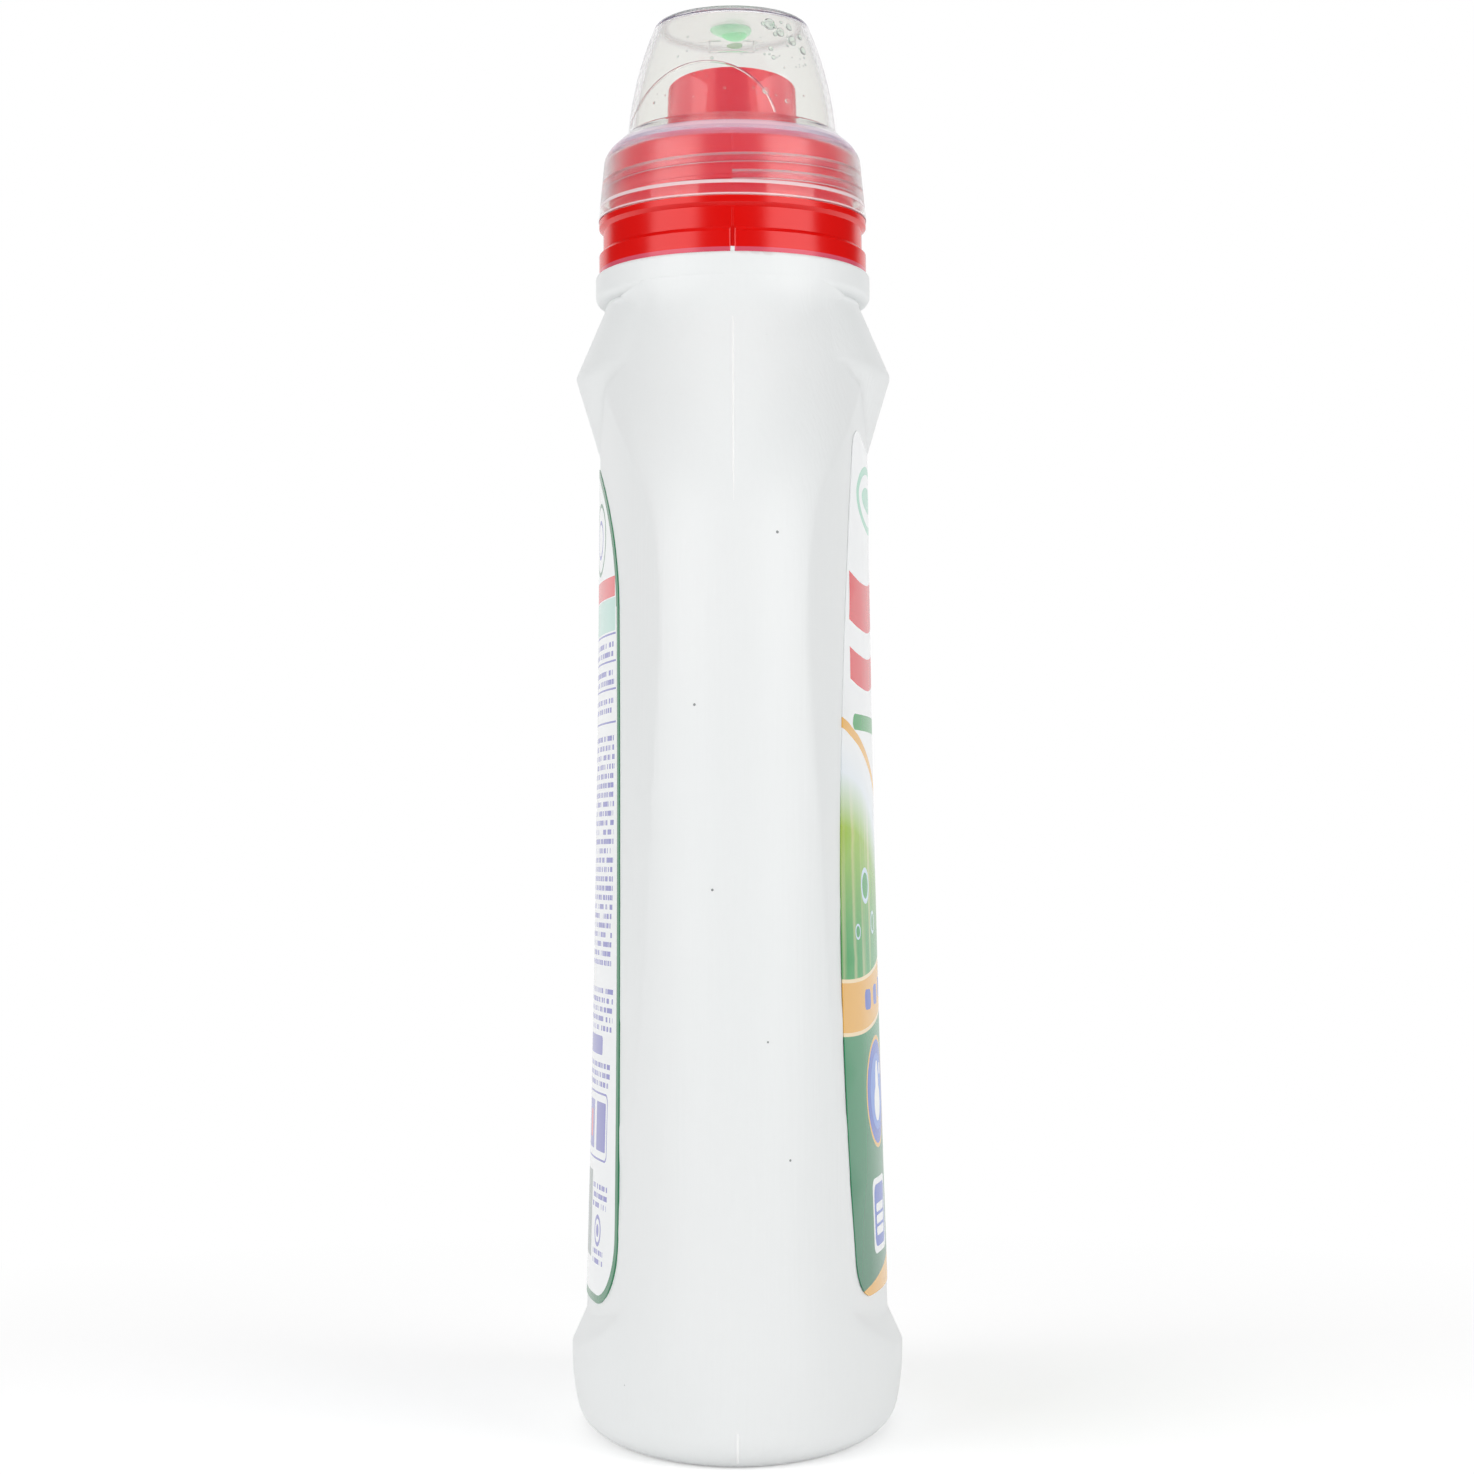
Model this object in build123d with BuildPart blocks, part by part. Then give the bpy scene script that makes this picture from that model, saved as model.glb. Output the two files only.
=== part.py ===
from build123d import *
from math import pi, sin
import os

os.makedirs("parts", exist_ok=True)

# Laundry detergent bottle with a pouring spout and a screw-on dosing cap, in millimetres.
# X runs across the wide faces, Y through the thickness, and the bottle stands on Z = 0.
# The front label faces -Y and the pouring lip points to -X.

# Blow-moulded bottle body
HALF_WIDTH = 53.5
FOOT_HALF_DEPTH = 32.1
FLANK_HALF_DEPTH = 31.1
LOWER_HALF_DEPTH = 30.2
BASE_DRAFT = 1.1
BASE_DEPTH_DRAFT = 2.2
FOOT_HEIGHT = 15.0
FOOT_BLEND_HEIGHT = 17.0
LOWER_HEIGHT = 52.0
SHOULDER_START = 160.0
SHOULDER_TOP = 216.2
SHOULDER_TUCK = 1.0
BASE_ROUNDING = 6.0
WALL = 1.0
BASE_WALL = 1.6

# Flatter panels that cut the front and back of the body for the labels
PANEL_PLAN_RADIUS = 98.0
PANEL_TOP_HALF_DEPTH = 25.9
PANEL_BOTTOM_HALF_DEPTH = 29.7
PANEL_BOTTOM = 8.0
PANEL_TOP = 187.0
PANEL_HOLLOW = 0.6

# Ledge on which each panel ends above the foot, flatter across than the panel
LEDGE_PLAN_RADIUS = 130.0
LEDGE_TOP_HALF_DEPTH = 29.2
LEDGE_TOP = 22.2
LEDGE_FALL = 6.4

# Round bulge below the closure, seen as a ridge on both faces
BULGE_RADIUS = 30.6
BULGE_HEIGHT = 202.6
BULGE_ROUNDING = 1.2

# Push-up in the base, inside the ring that the bottle stands on
PUSH_UP_HALF_WIDTH = 40.0
PUSH_UP_HALF_DEPTH = 19.0
PUSH_UP_DEPTH = 3.0
PUSH_UP_SLOPE = 5.0

# Neck, with the bead under the collar and the snap ring that holds it
NECK_ROOT_RADIUS = 24.7
BEAD_RADIUS = 26.7
BEAD_BOTTOM = 216.9
BEAD_TOP = 222.6
BEAD_ROUNDING = 0.8
BEAD_UNDERSIDE_ROUNDING = 1.6
NECK_RADIUS = 20.4
NECK_WALL = 1.5
NECK_TOP = 244.6
SNAP_RING_STEP = 0.9
SNAP_RING_HEIGHT = 237.0
SNAP_RING_RISE = 2.4
LUG_WIDTH = 0.8
LUG_HEIGHT = 0.9

# Pouring spout, one moulding with the collar and the flange that show below the cap
COLLAR_RADIUS = 26.0
COLLAR_BAND_RADIUS = 25.2
COLLAR_HEIGHT = 10.4
COLLAR_RING_HEIGHT = 3.9
COLLAR_RING_SLOPE = 0.8
COLLAR_WALL = 1.1
FLANGE_RADIUS = 26.0
FLANGE_HEIGHT = 1.8
FLANGE_ROUNDING = 0.7
CARRIER_RADIUS = 23.3
CARRIER_WALL = 1.4
CARRIER_FOOT = 4.0
DECK = 1.6
DECK_EDGE = 1.0
CATCH_RISE = 1.2
PLUG_WALL = 1.3
PLUG_DEPTH = 9.4
RIM_RISE = 2.2
SPOUT_RADIUS = 12.4
SPOUT_ROOT_RADIUS = 13.2
SPOUT_WALL = 1.2
SPOUT_HEIGHT = 15.8
SPOUT_SLANT = 3.8
TROUGH_FLOOR = 1.2
TROUGH_FALL = 4.0
DRAIN_WIDTH = 6.0
DRAIN_HEIGHT = 10.0

# Dosing cap, a tapered measuring cup upside down over the spout
SKIRT_RADIUS = 26.1
SKIRT_TOP_RADIUS = 24.9
SKIRT_HEIGHT = 11.9
SKIRT_MOUTH_RADIUS = 25.2
SKIRT_MOUTH_DEPTH = 2.5
CAP_SHOULDER_RADIUS = 23.8
CAP_SHOULDER_HEIGHT = 13.6
CAP_SHOULDER_ROUNDING = 3.0
CUP_MOUTH_RADIUS = 20.3
CUP_MOUTH_HEIGHT = 16.8
CUP_TOP_RADIUS = 14.6
CUP_BULGE = 1.0
CAP_HEIGHT = 38.7
CAP_WALL = 1.2
CAP_ROUNDING = 2.2

# Film labels on the two panels, with side margins measured in from the ends of the body
LABEL_FILM = 0.15
FRONT_LABEL_BOTTOM = 28.0
FRONT_LABEL_TOP = 191.0
FRONT_LABEL_DIP = 5.2
FRONT_LABEL_TOP_MARGIN = 27.5
FRONT_LABEL_MARGIN = 14.9
FRONT_LABEL_BOTTOM_MARGIN = 17.2
FRONT_LABEL_TOP_CORNER = 5.0
FRONT_LABEL_CORNER = 8.0
BACK_LABEL_BOTTOM = 26.0
BACK_LABEL_TOP = 185.0
BACK_LABEL_ARCH = 29.0
BACK_LABEL_TOP_MARGIN = 22.5
BACK_LABEL_BOTTOM_MARGIN = 16.0
BACK_LABEL_CORNER = 14.0

# Clearances
SEAT_GAP = 0.3
SNAP_GAP = 0.35
PLUG_GAP = 0.25
LUG_GAP = 0.2
LABEL_GLUE = 0.03

vertical = Axis((0, 0, 0), (0, 0, 1))
panel_axis_offset = PANEL_PLAN_RADIUS - PANEL_TOP_HALF_DEPTH
collar_top = BEAD_TOP + COLLAR_HEIGHT
collar_bore = COLLAR_BAND_RADIUS - COLLAR_WALL
lug_depth = COLLAR_RADIUS - COLLAR_BAND_RADIUS - LUG_GAP
carrier_foot = collar_top - CARRIER_FOOT
deck_top = NECK_TOP + DECK
rim_top = deck_top + RIM_RISE
spout_foot = NECK_TOP - PLUG_DEPTH
spout_tip = NECK_TOP + SPOUT_HEIGHT
neck_bore = NECK_RADIUS - NECK_WALL
plug_radius = neck_bore - PLUG_GAP
plug_bore = plug_radius - PLUG_WALL
cap_foot = collar_top + SEAT_GAP
cap_top = cap_foot + CAP_HEIGHT
cup_middle_radius = (CUP_MOUTH_RADIUS + CUP_TOP_RADIUS) / 2 + CUP_BULGE


def flank_sections(inset, floor):
    """Heights, half widths and half depths of the body before the panels are cut."""
    draft = BASE_DRAFT * (1 - floor / FOOT_HEIGHT) ** 2
    depth_draft = BASE_DEPTH_DRAFT * (1 - floor / FOOT_HEIGHT) ** 2
    foot_middle = (floor + FOOT_HEIGHT) / 2
    blend_half_depth = LOWER_HALF_DEPTH + (FOOT_HALF_DEPTH - LOWER_HALF_DEPTH) / 4
    sections = [
        (floor, HALF_WIDTH - draft, FOOT_HALF_DEPTH - depth_draft),
        (foot_middle, HALF_WIDTH - draft / 4, FOOT_HALF_DEPTH - depth_draft / 4),
        (FOOT_HEIGHT, HALF_WIDTH, FOOT_HALF_DEPTH),
        (FOOT_HEIGHT + FOOT_BLEND_HEIGHT, HALF_WIDTH, blend_half_depth),
        (LOWER_HEIGHT, HALF_WIDTH, LOWER_HALF_DEPTH),
    ]
    for step in (1, 2):
        height = LOWER_HEIGHT + (SHOULDER_START - LOWER_HEIGHT) * step / 3
        half_depth = LOWER_HALF_DEPTH + (FLANK_HALF_DEPTH - LOWER_HALF_DEPTH) * sin(pi / 2 * step / 3)
        sections.append((height, HALF_WIDTH, half_depth))
    tip = NECK_ROOT_RADIUS - SHOULDER_TUCK
    for step in range(5):
        height = SHOULDER_START + (SHOULDER_TOP - SHOULDER_START) * step / 4
        swell = sin(pi / 2 * (4 - step) / 4)
        half_width = tip + (HALF_WIDTH - tip) * swell
        half_depth = tip + (FLANK_HALF_DEPTH - tip) * swell
        sections.append((height, half_width, half_depth))
    return [(height, width - inset, depth - inset) for height, width, depth in sections]


def panel_form(inset):
    """Everything on the inner side of the front panel and its ledge, turned about two axes behind them."""
    taper = (PANEL_BOTTOM_HALF_DEPTH - PANEL_TOP_HALF_DEPTH) / (PANEL_TOP - PANEL_BOTTOM)
    top_half_depth = PANEL_TOP_HALF_DEPTH - taper * (SHOULDER_TOP - PANEL_TOP)
    middle_half_depth = (PANEL_TOP_HALF_DEPTH + PANEL_BOTTOM_HALF_DEPTH) / 2 - PANEL_HOLLOW
    middle_height = (PANEL_TOP + PANEL_BOTTOM) / 2
    ledge_slope = (FOOT_HALF_DEPTH - LEDGE_TOP_HALF_DEPTH) / LEDGE_FALL
    ledge_foot = LEDGE_TOP_HALF_DEPTH + ledge_slope * LEDGE_TOP
    ledge_head = LEDGE_TOP_HALF_DEPTH - ledge_slope * (LOWER_HEIGHT - LEDGE_TOP)
    ledge_axis_offset = LEDGE_PLAN_RADIUS - LEDGE_TOP_HALF_DEPTH
    with BuildPart() as form:
        with BuildSketch(Plane(origin=(0, panel_axis_offset, 0), x_dir=(1, 0, 0), z_dir=(0, -1, 0))):
            with BuildLine():
                ThreePointArc(
                    (panel_axis_offset + PANEL_BOTTOM_HALF_DEPTH - inset, PANEL_BOTTOM),
                    (panel_axis_offset + middle_half_depth - inset, middle_height),
                    (panel_axis_offset + PANEL_TOP_HALF_DEPTH - inset, PANEL_TOP),
                )
                Polyline(
                    (panel_axis_offset + PANEL_TOP_HALF_DEPTH - inset, PANEL_TOP),
                    (panel_axis_offset + top_half_depth - inset, SHOULDER_TOP),
                    (0, SHOULDER_TOP),
                    (0, 0),
                    (panel_axis_offset + PANEL_BOTTOM_HALF_DEPTH - inset, 0),
                    (panel_axis_offset + PANEL_BOTTOM_HALF_DEPTH - inset, PANEL_BOTTOM),
                )
            make_face()
        revolve(axis=Axis((0, panel_axis_offset, 0), (0, 0, 1)))
        with BuildSketch(Plane(origin=(0, ledge_axis_offset, 0), x_dir=(1, 0, 0), z_dir=(0, -1, 0))):
            with BuildLine():
                Polyline(
                    (0, 0),
                    (ledge_axis_offset + ledge_foot - inset, 0),
                    (ledge_axis_offset + ledge_head - inset, LOWER_HEIGHT),
                    (0, LOWER_HEIGHT),
                    close=True,
                )
            make_face()
        revolve(axis=Axis((0, ledge_axis_offset, 0), (0, 0, 1)))
    return form.part


def body_form(inset, floor, rounding):
    """Closed body from the base to the neck root, drawn in by the inset."""
    taper = (BULGE_RADIUS - PANEL_TOP_HALF_DEPTH) / (BULGE_HEIGHT - PANEL_TOP)
    bulge_foot = PANEL_TOP - BASE_ROUNDING
    bulge_foot_radius = PANEL_TOP_HALF_DEPTH - taper * BASE_ROUNDING
    front_panel = panel_form(inset)
    back_panel = mirror(front_panel, about=Plane.XZ)
    with BuildPart() as bulge:
        with BuildSketch(Plane.XZ):
            with BuildLine():
                Polyline(
                    (0, bulge_foot),
                    (bulge_foot_radius - inset, bulge_foot),
                    (BULGE_RADIUS - inset, BULGE_HEIGHT),
                    (NECK_ROOT_RADIUS - inset, SHOULDER_TOP),
                    (0, SHOULDER_TOP),
                    close=True,
                )
            make_face()
        revolve(axis=vertical)
        fillet(bulge.edges().filter_by_position(Axis.Z, BULGE_HEIGHT, BULGE_HEIGHT), BULGE_ROUNDING)
    with BuildPart() as form:
        for height, half_width, half_depth in flank_sections(inset, floor):
            with BuildSketch(Plane.XY.offset(height)):
                Ellipse(half_width, half_depth)
        loft()
        fillet(form.faces().sort_by(Axis.Z)[0].edges(), rounding)
        add(front_panel, mode=Mode.INTERSECT)
        add(back_panel, mode=Mode.INTERSECT)
        add(bulge.part)
    return form.part


def push_up_form(floor):
    """Shallow oval dome that keeps the middle of the base off the ground."""
    with BuildPart() as form:
        with BuildSketch(Plane.XY.offset(floor)):
            Ellipse(PUSH_UP_HALF_WIDTH + floor, PUSH_UP_HALF_DEPTH + floor)
        with BuildSketch(Plane.XY.offset(floor + PUSH_UP_DEPTH)):
            Ellipse(PUSH_UP_HALF_WIDTH + floor - PUSH_UP_SLOPE, PUSH_UP_HALF_DEPTH + floor - PUSH_UP_SLOPE)
        loft()
        fillet(form.faces().sort_by(Axis.Z)[-1].edges(), PUSH_UP_DEPTH / 2)
    return form.part


outer_body = body_form(0, 0, BASE_ROUNDING)
inner_body = body_form(WALL, BASE_WALL, BASE_ROUNDING - WALL)
front_glue_face = panel_form(-LABEL_GLUE)
front_film_face = panel_form(-LABEL_GLUE - LABEL_FILM)
back_glue_face = mirror(front_glue_face, about=Plane.XZ)
back_film_face = mirror(front_film_face, about=Plane.XZ)

# Hollow of the bottle, from the floor to the mouth of the neck
with BuildPart() as cavity:
    add(inner_body)
    add(push_up_form(BASE_WALL), mode=Mode.SUBTRACT)
    with BuildSketch(Plane.XZ):
        with BuildLine():
            Polyline(
                (0, SHOULDER_TOP),
                (NECK_ROOT_RADIUS - WALL, SHOULDER_TOP),
                (NECK_ROOT_RADIUS - WALL, BEAD_TOP - WALL),
                (neck_bore, BEAD_TOP - WALL),
                (neck_bore, NECK_TOP),
                (0, NECK_TOP),
                close=True,
            )
        make_face()
    revolve(axis=vertical)

# Bottle: body, bead, neck, snap ring and lug, blown as one piece
with BuildPart() as bottle:
    add(outer_body)
    with BuildSketch(Plane.XZ):
        with BuildLine():
            Polyline(
                (0, SHOULDER_TOP),
                (NECK_ROOT_RADIUS, SHOULDER_TOP),
                (NECK_ROOT_RADIUS, BEAD_BOTTOM),
                (NECK_RADIUS, BEAD_BOTTOM),
                (NECK_RADIUS, SNAP_RING_HEIGHT),
                (NECK_RADIUS + SNAP_RING_STEP, SNAP_RING_HEIGHT),
                (NECK_RADIUS, SNAP_RING_HEIGHT + SNAP_RING_RISE),
                (NECK_RADIUS, NECK_TOP),
                (0, NECK_TOP),
                close=True,
            )
        make_face()
    revolve(axis=vertical)
    with BuildSketch(Plane.XZ) as bead:
        with Locations((BEAD_RADIUS, BEAD_BOTTOM)):
            Rectangle(BEAD_RADIUS, BEAD_TOP - BEAD_BOTTOM, align=(Align.MAX, Align.MIN))
        fillet(bead.vertices().group_by(Axis.X)[-1].sort_by(Axis.Y)[-1], BEAD_ROUNDING)
        fillet(bead.vertices().group_by(Axis.X)[-1].sort_by(Axis.Y)[0], BEAD_UNDERSIDE_ROUNDING)
    revolve(axis=vertical)
    with Locations((-COLLAR_RADIUS, 0, BEAD_TOP)):
        Box(lug_depth, LUG_WIDTH, LUG_HEIGHT, align=(Align.MIN, Align.CENTER, Align.MIN))
    add(cavity.part, mode=Mode.SUBTRACT)
    add(push_up_form(0), mode=Mode.SUBTRACT)

# Floor of the drain-back trough, a ring that falls towards the back
with BuildPart() as trough:
    with BuildSketch():
        Circle(plug_bore + PLUG_WALL / 2)
        Circle(SPOUT_ROOT_RADIUS - SPOUT_WALL / 2, mode=Mode.SUBTRACT)
    extrude(amount=NECK_TOP)
    slope_plane = Plane(
        origin=(0, 0, spout_foot + TROUGH_FALL / 2 + TROUGH_FLOOR / 2),
        x_dir=(2 * plug_bore, 0, -TROUGH_FALL),
        z_dir=(TROUGH_FALL, 0, 2 * plug_bore),
    )
    with BuildSketch(slope_plane):
        Circle(2 * plug_bore)
    extrude(amount=TROUGH_FLOOR / 2, both=True, mode=Mode.INTERSECT)

# Pouring spout: collar, flange, thread carrier, deck, plug, trough and spout in one moulding
with BuildPart() as pour_spout:
    with BuildSketch(Plane.XZ):
        with BuildLine():
            Polyline(
                (COLLAR_RADIUS, BEAD_TOP),
                (COLLAR_RADIUS, BEAD_TOP + COLLAR_RING_HEIGHT),
                (COLLAR_BAND_RADIUS, BEAD_TOP + COLLAR_RING_HEIGHT + COLLAR_RING_SLOPE),
                (COLLAR_BAND_RADIUS, collar_top - FLANGE_HEIGHT),
                (FLANGE_RADIUS, collar_top - FLANGE_HEIGHT + FLANGE_ROUNDING),
                (FLANGE_RADIUS, collar_top),
                (CARRIER_RADIUS, collar_top),
                (CARRIER_RADIUS, deck_top - DECK_EDGE),
                (CARRIER_RADIUS - DECK_EDGE, deck_top),
                (plug_radius, deck_top),
                (plug_radius, rim_top),
                (plug_bore, rim_top),
                (plug_bore, spout_foot),
                (plug_radius, spout_foot),
                (plug_radius, NECK_TOP),
                (CARRIER_RADIUS - CARRIER_WALL, NECK_TOP),
                (CARRIER_RADIUS - CARRIER_WALL, SNAP_RING_HEIGHT - SNAP_GAP),
                (NECK_RADIUS + SNAP_GAP, SNAP_RING_HEIGHT - SNAP_GAP - CATCH_RISE / 2),
                (CARRIER_RADIUS - CARRIER_WALL, SNAP_RING_HEIGHT - SNAP_GAP - 2 * CATCH_RISE),
                (CARRIER_RADIUS - CARRIER_WALL, carrier_foot),
                (CARRIER_RADIUS, carrier_foot),
                (CARRIER_RADIUS, collar_top - COLLAR_WALL),
                (collar_bore, collar_top - COLLAR_WALL),
                (collar_bore, BEAD_TOP),
                close=True,
            )
        make_face()
    revolve(axis=vertical)
    with BuildSketch(Plane.XZ):
        with BuildLine():
            Polyline(
                (SPOUT_ROOT_RADIUS, spout_foot),
                (SPOUT_RADIUS, spout_tip),
                (SPOUT_RADIUS - SPOUT_WALL, spout_tip),
                (SPOUT_ROOT_RADIUS - SPOUT_WALL, spout_foot),
                close=True,
            )
        make_face()
    revolve(axis=vertical)
    add(trough.part)
    lip_plane = Plane(
        origin=(-SPOUT_RADIUS, 0, spout_tip),
        z_dir=(SPOUT_SLANT, 0, 2 * SPOUT_RADIUS),
    )
    split(bisect_by=lip_plane, keep=Keep.BOTTOM)
    with Locations((SPOUT_ROOT_RADIUS - SPOUT_WALL / 2, 0, spout_foot + TROUGH_FLOOR)):
        Box(
            4 * SPOUT_WALL,
            DRAIN_WIDTH,
            DRAIN_HEIGHT,
            align=(Align.CENTER, Align.CENTER, Align.MIN),
            mode=Mode.SUBTRACT,
        )
    with Locations((-COLLAR_RADIUS, 0, BEAD_TOP)):
        Box(
            COLLAR_RADIUS - COLLAR_BAND_RADIUS,
            LUG_WIDTH + 2 * LUG_GAP,
            COLLAR_RING_HEIGHT + COLLAR_RING_SLOPE,
            align=(Align.MIN, Align.CENTER, Align.MIN),
            mode=Mode.SUBTRACT,
        )

# Dosing cap: cup, sloping shoulder and threaded skirt in one moulding
with BuildPart() as dosing_cap:
    with BuildSketch(Plane.XZ) as cap_outline:
        with BuildLine():
            Polyline(
                (0, cap_top),
                (0, cap_foot),
                (SKIRT_RADIUS, cap_foot),
                (SKIRT_TOP_RADIUS, cap_foot + SKIRT_HEIGHT),
                (CAP_SHOULDER_RADIUS, cap_foot + CAP_SHOULDER_HEIGHT),
                (CUP_MOUTH_RADIUS, cap_foot + CUP_MOUTH_HEIGHT),
            )
            ThreePointArc(
                (CUP_MOUTH_RADIUS, cap_foot + CUP_MOUTH_HEIGHT),
                (cup_middle_radius, (cap_foot + CUP_MOUTH_HEIGHT + cap_top) / 2),
                (CUP_TOP_RADIUS, cap_top),
            )
            Line((CUP_TOP_RADIUS, cap_top), (0, cap_top))
        make_face()
        shoulder_corners = cap_outline.vertices().filter_by_position(
            Axis.Y, cap_foot + SKIRT_HEIGHT, cap_foot + CAP_SHOULDER_HEIGHT
        )
        fillet(shoulder_corners, CAP_SHOULDER_ROUNDING)
    revolve(axis=vertical)
    top_edge = dosing_cap.edges().filter_by_position(Axis.Z, cap_top - 0.01, cap_top + 0.01)
    fillet(top_edge.sort_by(SortBy.RADIUS)[-1], CAP_ROUNDING)
    offset(amount=-CAP_WALL, openings=dosing_cap.faces().sort_by(Axis.Z)[0])
    with BuildSketch(Plane.XZ):
        with Locations((0, cap_foot)):
            Rectangle(SKIRT_MOUTH_RADIUS, SKIRT_MOUTH_DEPTH, align=(Align.MIN, Align.MIN))
    revolve(axis=vertical, mode=Mode.SUBTRACT)

# Front label: film whose sides bow out and whose upper edge dips below the bulge
front_shape_middle = (FRONT_LABEL_BOTTOM + FRONT_LABEL_TOP) / 2
front_top_half_width = HALF_WIDTH - FRONT_LABEL_TOP_MARGIN
front_half_width = HALF_WIDTH - FRONT_LABEL_MARGIN
front_bottom_half_width = HALF_WIDTH - FRONT_LABEL_BOTTOM_MARGIN
with BuildPart() as front_label:
    with BuildSketch(Plane.XZ) as front_outline:
        with BuildLine():
            ThreePointArc(
                (-front_top_half_width, FRONT_LABEL_TOP),
                (0, FRONT_LABEL_TOP - FRONT_LABEL_DIP),
                (front_top_half_width, FRONT_LABEL_TOP),
            )
            ThreePointArc(
                (front_top_half_width, FRONT_LABEL_TOP),
                (front_half_width, front_shape_middle),
                (front_bottom_half_width, FRONT_LABEL_BOTTOM),
            )
            Line(
                (front_bottom_half_width, FRONT_LABEL_BOTTOM),
                (-front_bottom_half_width, FRONT_LABEL_BOTTOM),
            )
            ThreePointArc(
                (-front_bottom_half_width, FRONT_LABEL_BOTTOM),
                (-front_half_width, front_shape_middle),
                (-front_top_half_width, FRONT_LABEL_TOP),
            )
        make_face()
        fillet(front_outline.vertices().group_by(Axis.Y)[0], FRONT_LABEL_CORNER)
        fillet(front_outline.vertices().group_by(Axis.Y)[-1], FRONT_LABEL_TOP_CORNER)
    extrude(amount=PANEL_PLAN_RADIUS)
    add(front_film_face, mode=Mode.INTERSECT)
    add(front_glue_face, mode=Mode.SUBTRACT)

# Back label: film with straight sides under a round arch, a little wider at the bottom
back_shape_top = BACK_LABEL_TOP - BACK_LABEL_ARCH
back_top_half_width = HALF_WIDTH - BACK_LABEL_TOP_MARGIN
back_bottom_half_width = HALF_WIDTH - BACK_LABEL_BOTTOM_MARGIN
with BuildPart() as back_label:
    with BuildSketch(Plane.XZ) as back_outline:
        with BuildLine():
            Polyline(
                (-back_top_half_width, back_shape_top),
                (-back_bottom_half_width, BACK_LABEL_BOTTOM),
                (back_bottom_half_width, BACK_LABEL_BOTTOM),
                (back_top_half_width, back_shape_top),
            )
            ThreePointArc(
                (back_top_half_width, back_shape_top),
                (0, BACK_LABEL_TOP),
                (-back_top_half_width, back_shape_top),
            )
        make_face()
        fillet(back_outline.vertices().group_by(Axis.Y)[0], BACK_LABEL_CORNER)
    extrude(amount=-PANEL_PLAN_RADIUS)
    add(back_film_face, mode=Mode.INTERSECT)
    add(back_glue_face, mode=Mode.SUBTRACT)

bottle.part.label = "bottle"
pour_spout.part.label = "pour_spout"
dosing_cap.part.label = "dosing_cap"
front_label.part.label = "front_label"
back_label.part.label = "back_label"

export_step(bottle.part, "parts/bottle.step")
export_step(pour_spout.part, "parts/pour_spout.step")
export_step(dosing_cap.part, "parts/dosing_cap.step")
export_step(front_label.part, "parts/front_label.step")
export_step(back_label.part, "parts/back_label.step")
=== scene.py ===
import math

import bmesh
import bpy
import numpy as np
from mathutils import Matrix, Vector


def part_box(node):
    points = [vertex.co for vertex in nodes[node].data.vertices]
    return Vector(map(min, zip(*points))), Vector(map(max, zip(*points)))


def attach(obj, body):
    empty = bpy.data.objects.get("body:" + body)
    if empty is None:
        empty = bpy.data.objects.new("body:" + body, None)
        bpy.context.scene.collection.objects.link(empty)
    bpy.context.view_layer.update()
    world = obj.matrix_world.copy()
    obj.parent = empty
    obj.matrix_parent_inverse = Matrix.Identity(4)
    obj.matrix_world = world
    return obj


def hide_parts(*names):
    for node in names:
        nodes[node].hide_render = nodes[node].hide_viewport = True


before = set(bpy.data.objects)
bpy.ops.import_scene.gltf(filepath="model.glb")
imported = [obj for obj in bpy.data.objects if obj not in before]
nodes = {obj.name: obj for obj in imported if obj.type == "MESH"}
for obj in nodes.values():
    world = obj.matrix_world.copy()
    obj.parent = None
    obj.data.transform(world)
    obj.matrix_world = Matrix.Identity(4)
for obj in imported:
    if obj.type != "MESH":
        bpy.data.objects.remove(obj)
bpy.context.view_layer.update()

scene = bpy.context.scene
scene.view_settings.view_transform = "Standard"

# Camera
# The photograph looks level along the wide bottle, from the side of the pouring lip. Its horizon
# lies below the middle of the picture, and the bottle leans a quarter of a degree to the left.
photo_size_px = 1474
focal_length_px = 2995
horizon_below_centre_px = 123
axis_left_of_centre_px = 1.7
lean_deg = 0.255
eye_height = 0.1089
eye_distance = 0.585
sensor_mm = 36

lens = bpy.data.cameras.new("camera")
lens.sensor_width = sensor_mm
lens.lens = sensor_mm * focal_length_px / photo_size_px
lens.shift_y = horizon_below_centre_px / photo_size_px
camera = bpy.data.objects.new("camera", lens)
camera.location = (-eye_distance, -axis_left_of_centre_px / focal_length_px * eye_distance, eye_height)
camera.rotation_euler = (math.radians(90), math.radians(lean_deg), math.radians(-90))
scene.collection.objects.link(camera)
scene.camera = camera

# Studio
# Two tall softboxes stand left and right of the camera and a wide one hangs overhead, in a dim room
# with a white wall behind the bottle. Matt cards at the sides, a paler one on the left, light the
# shadow side without showing in the gloss.
softbox_width = 1.05
softbox_height = 1.1
softbox_distance = 1.25
softbox_side_deg = 52.5
softbox_middle = 0.56
softbox_left_radiance = 2.10
softbox_right_radiance = 2.36
overhead_size = 1.3
overhead_height = 1.6
overhead_radiance = 0.75
room_colour = (0.05, 0.05, 0.05, 1)
fill_left = 0.42
fill_right = 0.28
fill_left_end = 0.6
fill_right_end = -0.4
wall_start = 0.66
wall_full = 0.88
white = (1, 1, 1, 1)


def add(tree, kind, inputs=None, **settings):
    """Adds a node. Its inputs are given by name or number, as values or as links."""
    made = tree.nodes.new("ShaderNode" + kind)
    for name, value in settings.items():
        setattr(made, name, value)
    for name, value in (inputs or {}).items():
        if isinstance(value, bpy.types.NodeSocket):
            tree.links.new(value, made.inputs[name])
        else:
            made.inputs[name].default_value = value
    return made


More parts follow.
